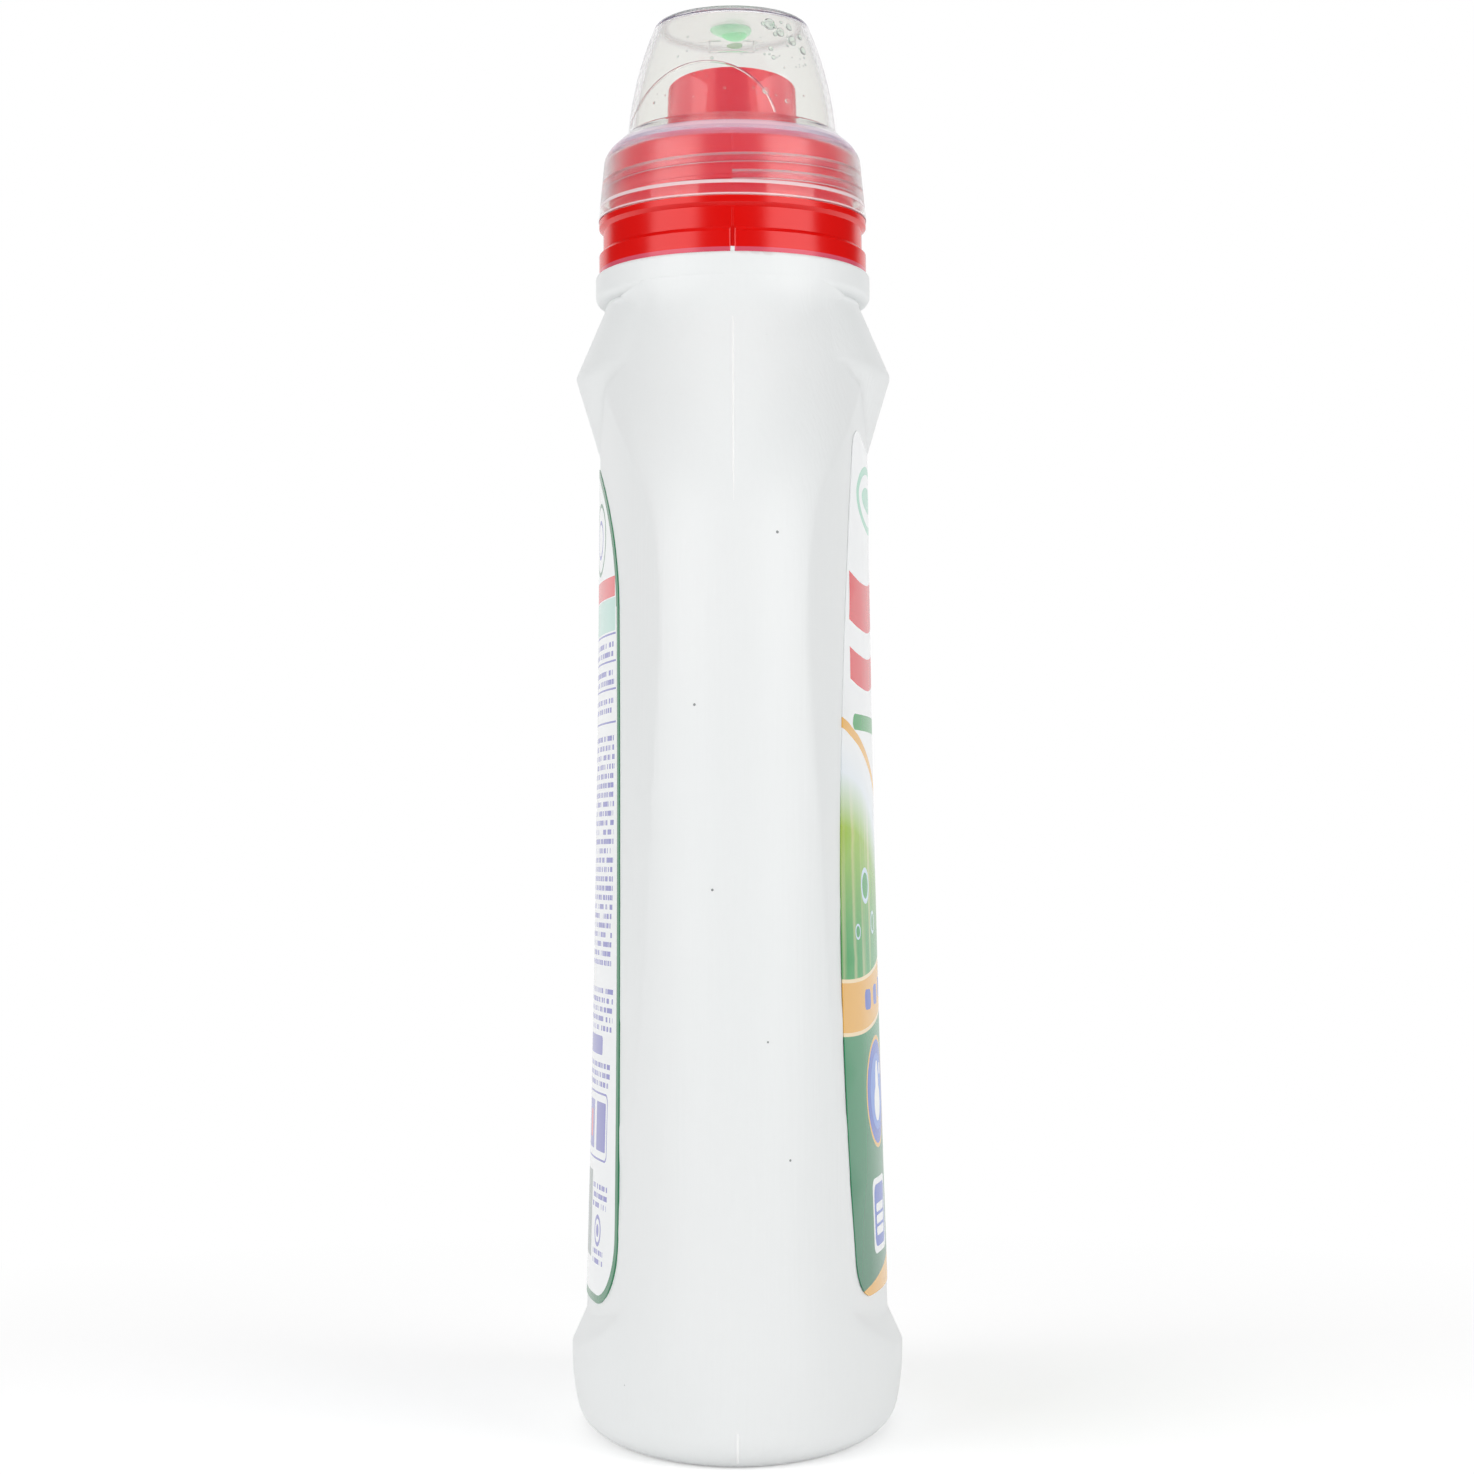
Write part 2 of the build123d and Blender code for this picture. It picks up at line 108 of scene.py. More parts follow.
def hang_light(name, place, aim, width, height, radiance):
    """A rectangular lamp at place, turned towards aim. Its power is radiance times pi times area."""
    lamp = bpy.data.lights.new(name, "AREA")
    lamp.shape = "RECTANGLE"
    lamp.size = width
    lamp.size_y = height
    lamp.energy = radiance * math.pi * width * height
    held = bpy.data.objects.new(name, lamp)
    held.location = place
    held.rotation_euler = (Vector(aim) - Vector(place)).to_track_quat("-Z", "Y").to_euler()
    held.visible_camera = False
    scene.collection.objects.link(held)


side = math.radians(softbox_side_deg)
for name, sign, radiance in (
    ("softbox_left", 1, softbox_left_radiance),
    ("softbox_right", -1, softbox_right_radiance),
):
    back, beside = softbox_distance * math.cos(side), softbox_distance * math.sin(side)
    place = (-back, sign * beside, softbox_middle)
    hang_light(name, place, (0, 0, softbox_middle), softbox_width, softbox_height, radiance)
above = (0, 0, overhead_height)
hang_light("overhead", above, (0, 0, 0), overhead_size, overhead_size, overhead_radiance)

world = bpy.data.worlds.new("studio")
scene.world = world
world.use_nodes = True
sky = world.node_tree
sky.nodes.clear()
ray = add(sky, "LightPath")
direction = add(sky, "SeparateXYZ", {0: add(sky, "TexCoord").outputs["Generated"]})
wall = add(
    sky,
    "MapRange",
    {0: direction.outputs["X"], 1: wall_start, 2: wall_full},
    interpolation_type="SMOOTHSTEP",
)
seen_wall = add(
    sky,
    "Math",
    {0: ray.outputs["Is Glossy Ray"], 1: wall.outputs[0]},
    operation="MULTIPLY",
)
seen_through = add(
    sky,
    "Math",
    {0: ray.outputs["Is Camera Ray"], 1: ray.outputs["Is Transmission Ray"]},
    operation="MAXIMUM",
)
seen = add(sky, "Math", {0: seen_wall.outputs[0], 1: seen_through.outputs[0]}, operation="MAXIMUM")
card = add(
    sky,
    "MapRange",
    {0: direction.outputs["Y"], 1: fill_right_end, 2: fill_left_end, 3: fill_right, 4: fill_left},
)
front = add(
    sky,
    "Mix",
    {0: ray.outputs["Is Diffuse Ray"], 6: room_colour, 7: card.outputs[0]},
    data_type="RGBA",
)
room = add(sky, "Mix", {0: wall.outputs[0], 6: front.outputs[2], 7: white}, data_type="RGBA")
colour = add(sky, "Mix", {0: seen.outputs[0], 6: room.outputs[2], 7: white}, data_type="RGBA")
glow = add(sky, "Background", {"Color": colour.outputs[2], "Strength": 1.0})
add(sky, "OutputWorld", {"Surface": glow.outputs[0]})

# Floor
# A wide white table. Its far part glows plain white, so that no edge shows against the wall, and
# near the bottle it keeps the soft shadow.
floor_reach = 6.0
floor_colour = (0.9, 0.9, 0.9, 1)
floor_glow = 0.34
shadow_core = 0.08
shadow_reach = 0.30

floor_mesh = bpy.data.meshes.new("floor")
corners = np.array([(-1, -1, 0), (1, -1, 0), (1, 1, 0), (-1, 1, 0)]) * floor_reach
floor_mesh.from_pydata(corners.tolist(), [], [(0, 1, 2, 3)])
floor = bpy.data.objects.new("floor", floor_mesh)
scene.collection.objects.link(floor)
table = bpy.data.materials.new("white_table")
table.use_nodes = True
tree = table.node_tree
tree.nodes.clear()
ray = add(tree, "LightPath")
seen = add(
    tree,
    "Math",
    {0: ray.outputs["Is Camera Ray"], 1: ray.outputs["Is Transmission Ray"]},
    operation="MAXIMUM",
)
seen = add(tree, "Math", {0: seen.outputs[0], 1: ray.outputs["Is Glossy Ray"]}, operation="MAXIMUM")
place = add(tree, "TexCoord")
reach = add(tree, "VectorMath", {0: place.outputs["Object"]}, operation="LENGTH")
far = add(tree, "MapRange", {0: reach.outputs["Value"], 1: shadow_core, 2: shadow_reach})
cover = add(tree, "Math", {0: far.outputs[0], 1: seen.outputs[0]}, operation="MULTIPLY")
top = add(tree, "BsdfDiffuse", {"Color": floor_colour})
lift = add(tree, "Emission", {"Color": white, "Strength": floor_glow})
dark = add(tree, "Emission", {"Strength": 0})
lift_seen = add(tree, "MixShader", {0: seen.outputs[0], 1: dark.outputs[0], 2: lift.outputs[0]})
near = add(tree, "AddShader", {0: top.outputs[0], 1: lift_seen.outputs[0]})
plain = add(tree, "Emission", {"Color": white, "Strength": 1.0})
surface = add(tree, "MixShader", {0: cover.outputs[0], 1: near.outputs[0], 2: plain.outputs[0]})
add(tree, "OutputMaterial", {"Surface": surface.outputs[0]})
floor_mesh.materials.append(table)

# Bottle
# White HDPE, blown in a mould whose fine vertical grinding marks it has taken up. It is satin, so
# the softboxes give it broad pale bands, a few dark specks are fixed in its skin, and the borders
# of its panels are soft.
hdpe_hex = "F4F5F5"
hdpe_shade_hex = "F0F3F3"
speck_hex = "8C8F90"
hdpe_ior = 1.54
hdpe_roughness = 0.42
hdpe_roughness_sway = 0.05
# The real marks are finer; they are drawn this coarse so that they show.
grain_width_mm = 0.9
grain_length_mm = 30
grain_height_mm = 0.07
border_radius_mm = 3.5
bead_radius_mm = 0.4
shoulder_top = 0.2110
bead_bottom = 0.2140
cloud_size_mm = 60
speck_spacing_mm = 12
speck_radius_mm = 0.28
speck_free_share = 0.55


def linear(hex_colour):
    """An sRGB hex colour as linear red, green, blue and alpha: c / 12.92 up to 0.04045, and above it
    (c + 0.055) / 1.055 to the power 2.4."""
    channels = np.array([int(hex_colour[i : i + 2], 16) for i in (0, 2, 4)]) / 255
    low = channels / 12.92
    high = ((channels + 0.055) / 1.055) ** 2.4
    return (*np.where(channels <= 0.04045, low, high).tolist(), 1.0)


def new_material(name):
    """An empty node material and its tree."""
    material = bpy.data.materials.new(name)
    material.use_nodes = True
    material.node_tree.nodes.clear()
    return material, material.node_tree


hdpe, tree = new_material("white_hdpe_blow_moulded")
place = add(tree, "TexCoord").outputs["Object"]
cloud = add(tree, "TexNoise", {"Vector": place, "Scale": 1000 / cloud_size_mm, "Detail": 2.0})
cells = add(tree, "TexVoronoi", {"Vector": place, "Scale": 1000 / speck_spacing_mm})
dot = add(
    tree,
    "Math",
    {0: cells.outputs["Distance"], 1: speck_radius_mm / speck_spacing_mm},
    operation="LESS_THAN",
)
rare = add(tree, "SeparateXYZ", {0: cells.outputs["Color"]})
chosen = add(tree, "Math", {0: rare.outputs["X"], 1: speck_free_share}, operation="GREATER_THAN")
speck = add(tree, "Math", {0: dot.outputs[0], 1: chosen.outputs[0]}, operation="MULTIPLY")
tone = add(
    tree,
    "Mix",
    {0: cloud.outputs[0], 6: linear(hdpe_hex), 7: linear(hdpe_shade_hex)},
    data_type="RGBA",
)
skin = add(
    tree,
    "Mix",
    {0: speck.outputs[0], 6: tone.outputs[2], 7: linear(speck_hex)},
    data_type="RGBA",
)
grain_scale = (1000 / grain_width_mm, 1000 / grain_width_mm, 1000 / grain_length_mm)
stretched = add(tree, "Mapping", {"Vector": place, "Scale": grain_scale})
grain = add(tree, "TexNoise", {"Vector": stretched.outputs[0], "Scale": 1.0, "Detail": 2.0})
height = add(tree, "SeparateXYZ", {0: place}).outputs["Z"]
rounding = add(
    tree,
    "MapRange",
    {0: height, 1: shoulder_top, 2: bead_bottom, 3: border_radius_mm / 1000, 4: bead_radius_mm / 1000},
)
rounded = add(tree, "Bevel", {"Radius": rounding.outputs[0]}, samples=8)
relief = add(
    tree,
    "Bump",
    {
        "Height": grain.outputs[0],
        "Strength": 1.0,
        "Distance": grain_height_mm / 1000,
        "Normal": rounded.outputs[0],
    },
)
satin = add(
    tree,
    "MapRange",
    {
        0: grain.outputs[0],
        3: hdpe_roughness - hdpe_roughness_sway,
        4: hdpe_roughness + hdpe_roughness_sway,
    },
)
plastic = add(
    tree,
    "BsdfPrincipled",
    {
        "Base Color": skin.outputs[2],
        "Roughness": satin.outputs[0],
        "IOR": hdpe_ior,
        "Normal": relief.outputs[0],
    },
)
add(tree, "OutputMaterial", {"Surface": plastic.outputs[0]})
nodes["bottle"].material_slots[0].material = hdpe

# Parting line
# The two halves of the mould leave a fine raised line of flash on both ends of the bottle, clear
# from the neck down to the upper flank and again where the parison was pinched off at the base. It
# is thinner than the wall, and its colour is a painted highlight, plain white, so that it shows paler.
line_top = 0.2160
line_fade = 0.1730
base_line_top = 0.0070
base_line_bottom = 0.0012
line_half_width = 0.00022
line_height = 0.00014
line_steps = 90
line_fade_rate = 6
line_faded = 0.15
point_merge = 1e-7


def dropped_on(target, points, axis="x"):
    """Points carried along the axis onto the nearest surface of the target, which a Shrinkwrap
    modifier finds."""
    mesh = bpy.data.meshes.new("probe")
    mesh.from_pydata(points.tolist(), [], [])
    probe = bpy.data.objects.new("probe", mesh)
    scene.collection.objects.link(probe)
    wrap = probe.modifiers.new("wrap", "SHRINKWRAP")
    wrap.target = target
    wrap.wrap_method = "PROJECT"
    wrap.use_project_x = axis == "x"
    wrap.use_project_y = axis == "y"
    wrap.use_negative_direction = True
    wrap.use_positive_direction = True
    bpy.context.view_layer.update()
    shaped = probe.evaluated_get(bpy.context.evaluated_depsgraph_get()).to_mesh()
    found = np.empty(len(points) * 3)
    shaped.vertices.foreach_get("co", found)
    bpy.data.objects.remove(probe)
    return found.reshape(-1, 3)


def closed(rows):
    """Rows of points with one more at each end, which lies at the middle of the first or last row."""
    first = np.broadcast_to(rows[:1].mean(1, keepdims=True), rows[:1].shape)
    last = np.broadcast_to(rows[-1:].mean(1, keepdims=True), rows[-1:].shape)
    return np.concatenate([first, rows, last])


def bar_along(path, out, side, section, taper):
    """Rows of points of a bar: each is the path's point, plus out times the section's height and side
    times its width, both times the taper."""
    size = taper[:, None, None]
    return closed(
        path[:, None, :]
        + out[:, None, :] * section[None, :, 0:1] * size
        + side[:, None, :] * section[None, :, 1:2] * size
    )


def make_piece(name, grids, material, body, sharp_deg=35):
    """One mesh from grids of points (rows, columns, 3) whose columns run round: neighbours are joined
    by faces, coinciding points are merged and the faces are turned outwards."""
    points, faces, count = [], [], 0
    for grid in grids:
        rows, columns = grid.shape[:2]
        corner = count + np.arange(rows * columns).reshape(rows, columns)
        around = np.roll(corner, -1, axis=1)
        faces.append(np.stack([corner[:-1], around[:-1], around[1:], corner[1:]], -1).reshape(-1, 4))
        points.append(grid.reshape(-1, 3))
        count += rows * columns
    mesh = bpy.data.meshes.new(name)
    mesh.from_pydata(np.concatenate(points).tolist(), [], np.concatenate(faces).tolist())
    shape = bmesh.new()
    shape.from_mesh(mesh)
    bmesh.ops.remove_doubles(shape, verts=shape.verts, dist=point_merge)
    bmesh.ops.recalc_face_normals(shape, faces=shape.faces)
    shape.to_mesh(mesh)
    shape.free()
    mesh.polygons.foreach_set("use_smooth", np.ones(len(mesh.polygons), bool))
    mesh.set_sharp_from_angle(angle=math.radians(sharp_deg))
    mesh.materials.append(material)
    piece = bpy.data.objects.new(name, mesh)
    scene.collection.objects.link(piece)
    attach(piece, body)
    return piece


outside_x = 1.1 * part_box("bottle")[1].x
line_section = np.array(
    [
        (-line_height, -line_half_width),
        (0, -line_half_width),
        (line_height, -0.3 * line_half_width),
        (line_height, 0.3 * line_half_width),
        (0, line_half_width),
        (-line_height, line_half_width),
    ]
)
line_grids = []
for sign in (-1, 1):
    for bottom, top, fading in ((line_fade, line_top, True), (base_line_bottom, base_line_top, False)):
        heights = np.linspace(bottom, top, line_steps)
        outside = np.stack([np.full(line_steps, sign * outside_x), np.zeros(line_steps), heights], 1)
        path = dropped_on(nodes["bottle"], outside)
        out = np.tile((sign, 0.0, 0.0), (line_steps, 1))
        across = np.tile((0.0, 1.0, 0.0), (line_steps, 1))
        share = np.linspace(0, 1, line_steps)
        taper = np.clip(share * line_fade_rate, line_faded, 1) if fading else np.ones(line_steps)
        line_grids.append(bar_along(path, out, across, line_section, taper))
crisp_hdpe = hdpe.copy()
crisp_hdpe.name = "white_hdpe_crisp"
crisp_hdpe.node_tree.nodes.remove(crisp_hdpe.node_tree.nodes["Bevel"])
# Painted highlight: every colour of the wall material is set to plain white here, so the raised line
# shows bright.
flash_hdpe_painted_highlight = crisp_hdpe.copy()
flash_hdpe_painted_highlight.name = "white_hdpe_flash_painted_highlight"
for node in flash_hdpe_painted_highlight.node_tree.nodes:
    if node.type == "MIX":
        node.inputs[6].default_value = white
        node.inputs[7].default_value = white
make_piece("parting_line", line_grids, flash_hdpe_painted_highlight, "bottle")

# Bead run-out
# On both ends of the bottle the bead under the collar has no step: the end wall comes up flush with
# its face, and the underside only opens towards the panels.
run_out_reach = 0.0215
run_out_low = 0.2050
run_out_high = 0.2164
bead_face_radius = 0.02672
bead_face_low = 0.2182
bead_sink = 0.0010
run_out_rows = 81
run_out_steps = 18
probe_step = 0.0010
bead_sink_start = 0.7
patch_depth = 0.0012
patch_edge_depth = 0.0002

run_out_grids = []
for sign in (-1, 1):
    y = np.linspace(-run_out_reach, run_out_reach, run_out_rows)
    share = np.abs(y) / run_out_reach
    z_low = run_out_low + (run_out_high - run_out_low) * share**2
    far = np.full(run_out_rows, sign * outside_x)
    foot = dropped_on(nodes["bottle"], np.stack([far, y, z_low], 1))
    below = dropped_on(nodes["bottle"], np.stack([far, y, z_low - probe_step], 1))
    sink = bead_sink * np.clip((share - bead_sink_start) / (1 - bead_sink_start), 0, 1) ** 2
    radius = bead_face_radius - sink
    head = np.stack([sign * np.sqrt(radius**2 - y**2), y, np.full(run_out_rows, bead_face_low)], 1)
    rise = (head[:, 2] - foot[:, 2])[:, None]
    foot_slope = (foot - below) / probe_step * rise
    head_slope = np.array([0.0, 0.0, 1.0]) * rise
    t = np.linspace(0, 1, run_out_steps)[None, :, None]
    # A cubic from the end wall to the bead, with the slope of each at its ends.
    skin = (
        (2 * t**3 - 3 * t**2 + 1) * foot[:, None]
        + (t**3 - 2 * t**2 + t) * foot_slope[:, None]
        + (3 * t**2 - 2 * t**3) * head[:, None]
        + (t**3 - t**2) * head_slope[:, None]
    )
    behind = skin[:, ::-1] - np.array([sign * patch_depth, 0, 0])
    behind[:, [0, -1]] = skin[:, [-1, 0]] - np.array([sign * patch_edge_depth, 0, 0])
    run_out_grids.append(closed(np.concatenate([skin, behind], 1)))
make_piece("bead_run_out", run_out_grids, crisp_hdpe, "bottle")

# Labels
# Two printed and varnished films, glued to the panels: the print lies under a smooth clear coat,
# which mirrors the white wall where it is seen edge on. Their designs are given in millimetres,
# across from the middle and up from the table.
film_ior = 1.5
film_roughness = 0.22
film_white_hex = "F6F8F9"
film_sway_mm = 12
film_sway_height_mm = 0.02


def oval(tree, point, centre, half):
    """Mask of an oval: the point less the centre, divided by the half sizes, is shorter than 1."""
    scale = (1 / half[0], 1, 1 / half[1])
    shift = (-centre[0] / half[0], 0, -centre[1] / half[1])
    placed = add(tree, "Mapping", {"Vector": point, "Location": shift, "Scale": scale})
    reach = add(tree, "VectorMath", {0: placed.outputs[0]}, operation="LENGTH")
    return add(tree, "Math", {0: reach.outputs["Value"], 1: 1.0}, operation="LESS_THAN").outputs[0]


def box(tree, point, centre, half, corner=0.3):
    """Mask of a box with round corners: what the point lies beyond the box less its corner radius, in
    both directions, is shorter than that radius."""
    placed = add(tree, "VectorMath", {0: point, 1: (centre[0], 0, centre[1])}, operation="SUBTRACT")
    folded = add(tree, "VectorMath", {0: placed.outputs[0]}, operation="ABSOLUTE")
    core = (half[0] - corner, 1, half[1] - corner)
    beyond = add(tree, "VectorMath", {0: folded.outputs[0], 1: core}, operation="SUBTRACT")
    positive = add(tree, "VectorMath", {0: beyond.outputs[0], 1: (0, 0, 0)}, operation="MAXIMUM")
    reach = add(tree, "VectorMath", {0: positive.outputs[0]}, operation="LENGTH")
    return add(tree, "Math", {0: reach.outputs["Value"], 1: corner}, operation="LESS_THAN").outputs[0]


def below_wave(tree, across, up, middle, rise, length, start=0.0, soft=0.05):
    """Mask of all that lies below a wave: the wave's height is the middle plus the rise times the sine
    of the distance across, and the mask goes from 0 to 1 over a soft width under it."""
    turn = add(tree, "Math", {0: across, 1: 2 * math.pi / length, 2: start}, operation="MULTIPLY_ADD")
    wave = add(tree, "Math", {0: turn.outputs[0]}, operation="SINE")
    line = add(tree, "Math", {0: wave.outputs[0], 1: rise, 2: middle}, operation="MULTIPLY_ADD")
    depth = add(tree, "Math", {0: line.outputs[0], 1: up}, operation="SUBTRACT")
    return add(tree, "MapRange", {0: depth.outputs[0], 1: 0.0, 2: soft}).outputs[0]


def ribbon(tree, across, up, middle, depth, rise, length, start=0.0):
    """Mask of a waving ribbon: all below the wave of its top, less all below the same wave one depth
    lower."""
    top = below_wave(tree, across, up, middle, rise, length, start)
    foot = below_wave(tree, across, up, middle - depth, rise, length, start)
    return add(tree, "Math", {0: top, 1: foot}, operation="SUBTRACT").outputs[0]


def print_on(tree, under, mask, colour, window=None):
    """The print so far, with one more colour laid over it where the mask says, and only inside the
    window's mask if there is one."""
    if window is not None:
        mask = add(tree, "Math", {0: mask, 1: window}, operation="MULTIPLY").outputs[0]
    return add(tree, "Mix", {0: mask, 6: under, 7: colour}, data_type="RGBA").outputs[2]


def film_on(tree, colour):
    """The varnished film under its print, with the faint waviness of film glued to a curved wall."""
    place = add(tree, "TexCoord").outputs["Object"]
    sway = add(tree, "TexNoise", {"Vector": place, "Scale": 1000 / film_sway_mm, "Detail": 1.0})
    relief = add(
        tree,
        "Bump",
        {"Height": sway.outputs[0], "Strength": 1.0, "Distance": film_sway_height_mm / 1000},
    )
    film = add(
        tree,
        "BsdfPrincipled",
        {
            "Base Color": colour,
            "Roughness": film_roughness,
            "IOR": film_ior,
            "Normal": relief.outputs[0],
        },
    )
    add(tree, "OutputMaterial", {"Surface": film.outputs[0]})


def label_point(tree):
    """The place on a label in millimetres, as a vector without its depth and as its two parts."""
    place = add(tree, "TexCoord").outputs["Object"]
    point = add(tree, "VectorMath", {0: place, 1: (1000, 0, 1000)}, operation="MULTIPLY").outputs[0]
    parts = add(tree, "SeparateXYZ", {0: point})
    return point, parts.outputs["X"], parts.outputs["Z"]


# Front label
# A plain washing label: white above, with a mint bubble, a red double wave and a gold rule, then
# a lime to deep green field that a gold wave crosses, with bubbles and a blue roundel on it.
mint_hex = "9FD8C0"
red_ink_hex = "E4202E"
gold_hex = "F0B650"
gold_pale_hex = "FBE3B8"
lime_hex = "A9CC12"
leaf_hex = "12A047"
deep_green_hex = "0B7750"
mid_green_hex = "14935A"
pale_blue_hex = "CFE6F7"
blue_ink_hex = "3A62C8"
mid_blue_hex = "5E8BE2"

front_film, tree = new_material("front_label_printed_film")
point, across, up = label_point(tree)
mint = linear(mint_hex)
red = linear(red_ink_hex)
gold = linear(gold_hex)
cream = linear(gold_pale_hex)
paper = linear(film_white_hex)
blue = linear(blue_ink_hex)

design = print_on(tree, paper, oval(tree, point, (-11, 177.5), (13.5, 6.4)), mint)
design = print_on(tree, design, oval(tree, point, (-11, 177.5), (11.4, 4.9)), paper)
design = print_on(tree, design, oval(tree, point, (-11, 177.5), (8.6, 2.4)), mint)
for middle, depth in ((164, 9), (150, 6)):
    band = ribbon(tree, across, up, middle, depth, 3.2, 74)
    design = print_on(tree, design, band, red, box(tree, point, (0, 155), (31, 22), 4))
design = print_on(tree, design, box(tree, point, (-7, 134.5), (23, 1.5), 1.4), linear(leaf_hex))
glow = below_wave(tree, across, up, 126, 6, 110, start=4.14, soft=22.0)
design = print_on(tree, design, glow, linear(pale_blue_hex))
design = print_on(tree, design, ribbon(tree, across, up, 128, 2, 8, 110, start=4.14), gold)

field = below_wave(tree, across, up, 112, 13, 130, start=3.44, soft=10.0)
height = add(tree, "MapRange", {0: up, 1: 122.0, 2: 90.0}, interpolation_type="SMOOTHSTEP").outputs[0]
grass = print_on(tree, linear(lime_hex), height, linear(leaf_hex))
streaks = add(
    tree,
    "Mapping",
    {"Vector": point, "Rotation": (0, math.radians(12), 0), "Scale": (0.28, 1, 0.012)},
)
ripple = add(tree, "TexNoise", {"Vector": streaks.outputs[0], "Scale": 1.0, "Detail": 1.0})
light = add(tree, "MapRange", {0: ripple.outputs[0], 1: 0.52, 2: 0.75, 4: 0.55}).outputs[0]
grass = print_on(tree, grass, light, cream)
design = print_on(tree, design, field, grass)
for centre, size in (
    ((-24, 104), 3.4),
    ((-17, 97), 2.2),
    ((-30, 95.5), 1.5),
    ((3, 106), 4.6),
    ((19, 98), 3.0),
):
    inside = 0.72 * size
    design = print_on(tree, design, oval(tree, point, centre, (size, size)), linear(pale_blue_hex))
    design = print_on(tree, design, oval(tree, point, centre, (inside, inside)), linear(leaf_hex))

deep = below_wave(tree, across, up, 84, 2.6, 90, start=0.8)
deep_tone = add(tree, "MapRange", {0: up, 1: 84.0, 2: 30.0}).outputs[0]
deep_green = print_on(tree, linear(mid_green_hex), deep_tone, linear(deep_green_hex))
design = print_on(tree, design, deep, deep_green)
for middle, depth, ink in ((89.5, 10.5, cream), (88.8, 9.1, gold)):
    design = print_on(tree, design, ribbon(tree, across, up, middle, depth, 2.6, 90, start=0.8), ink)
for step in range(7):
    centre = (-24 + 8 * step, 84.8 - 2.2 * math.cos(step * 0.56 + 0.3))
    design = print_on(tree, design, box(tree, point, centre, (2.6, 1.9), 1.2), blue)
for half, ink in ((10.6, gold), (9.8, blue), (7.2, linear(mid_blue_hex))):
    design = print_on(tree, design, oval(tree, point, (-17, 65), (half, half)), ink)
for centre, half in (((-17, 63), (3.6, 3.6)), ((-17, 66.2), (2.0, 4.6)), ((-12.4, 69), (1.2, 1.2))):
    design = print_on(tree, design, oval(tree, point, centre, half), paper)
for half, ink in (((7.2, 7.0), paper), ((6.0, 5.8), blue)):
    design = print_on(tree, design, box(tree, point, (-18, 42), half, 2), ink)
for centre, half in (((-18, 43.4), (4.4, 0.8)), ((-18, 41.2), (4.4, 0.8)), ((-18, 39.0), (4.4, 0.8))):
    design = print_on(tree, design, box(tree, point, centre, half, 0.7), paper)
for height_mm, reach in ((66, 15), (61, 11), (56, 13)):
    design = print_on(tree, design, box(tree, point, (14, height_mm), (reach, 1.0), 0.9), mint)
foot = below_wave(tree, across, up, 31.5, 3.2, 120, start=1.0)
design = print_on(tree, design, foot, gold)
film_on(tree, design)
nodes["front_label"].material_slots[0].material = front_film

# Back label
# A plain directions label: a green border round white film, with a red heading, a mint table and
# rows of small violet print that are too fine to read, drawn as broken bars. The film takes the
# node's place and outline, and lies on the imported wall, which is a little coarser than the panel.
border_hex = "2F8259"
heading_hex = "EE6468"
table_hex = "C3E6DC"
violet_hex = "7A7AC4"
grey_hex = "8D9A98"
border_mm = 1.5
back_bottom_mm = 26
back_bottom_half_mm = 37.5
back_corner_mm = 14
arch_foot_mm = 156
arch_foot_half_mm = 31
arch_radius_mm = 31.07
arch_centre_mm = 153.9

back_film, tree = new_material("back_label_printed_film")
point, across, up = label_point(tree)
tall = 100
narrowing = add(
    tree,
    "MapRange",
    {0: up, 1: back_bottom_mm, 2: arch_foot_mm, 3: 1.0, 4: arch_foot_half_mm / back_bottom_half_mm},
)
evened = add(tree, "Math", {0: across, 1: narrowing.outputs[0]}, operation="DIVIDE")
inner = box(
    tree,
    add(tree, "CombineXYZ", {0: evened.outputs[0], 2: up}).outputs[0],
    (0, back_bottom_mm + border_mm + tall),
    (back_bottom_half_mm - border_mm, tall),
    back_corner_mm - border_mm,
)
arch = oval(tree, point, (0, arch_centre_mm), (arch_radius_mm - border_mm, arch_radius_mm - border_mm))
straight = add(tree, "Math", {0: up, 1: arch_foot_mm}, operation="LESS_THAN").outputs[0]
under_arch = add(tree, "Math", {0: arch, 1: straight}, operation="MAXIMUM").outputs[0]
design = print_on(tree, linear(border_hex), inner, paper, under_arch)
violet = linear(violet_hex)
for half, ink in (
    ((7.5, 7.0), linear(border_hex)),
    ((6.7, 6.2), paper),
    ((4.2, 3.8), violet),
    ((3.4, 3.0), paper),
):
    design = print_on(tree, design, oval(tree, point, (-13, 170), half), ink)
design = print_on(tree, design, box(tree, point, (0, 160), (28.6, 1.9), 0.3), linear(heading_hex))
design = print_on(tree, design, box(tree, point, (0, 154.8), (29.0, 3.1), 0.1), linear(table_hex))
for rule_mm, reach in ((151.2, 29.3), (146.1, 29.6), (140.9, 29.8), (134.7, 30.0)):
    design = print_on(tree, design, box(tree, point, (0, rule_mm), (reach, 0.18), 0.1), violet)

row_pitch_mm = 1.75
row_inked_share = 0.55
words_per_mm = 0.9
word_gap_level = 0.47
row = add(tree, "Math", {0: up, 1: row_pitch_mm}, operation="DIVIDE").outputs[0]
within = add(tree, "Math", {0: row}, operation="FRACT").outputs[0]
inked = add(tree, "Math", {0: within, 1: row_inked_share}, operation="LESS_THAN").outputs[0]
number = add(tree, "Math", {0: row}, operation="FLOOR").outputs[0]
word_place = add(tree, "CombineXYZ", {0: across, 1: number})
words = add(tree, "TexNoise", {"Vector": word_place.outputs[0], "Scale": words_per_mm, "Detail": 3.0})
words = words.outputs[0]
broken = add(tree, "Math", {0: words, 1: word_gap_level}, operation="GREATER_THAN").outputs[0]
lines = add(tree, "Math", {0: inked, 1: broken}, operation="MULTIPLY").outputs[0]
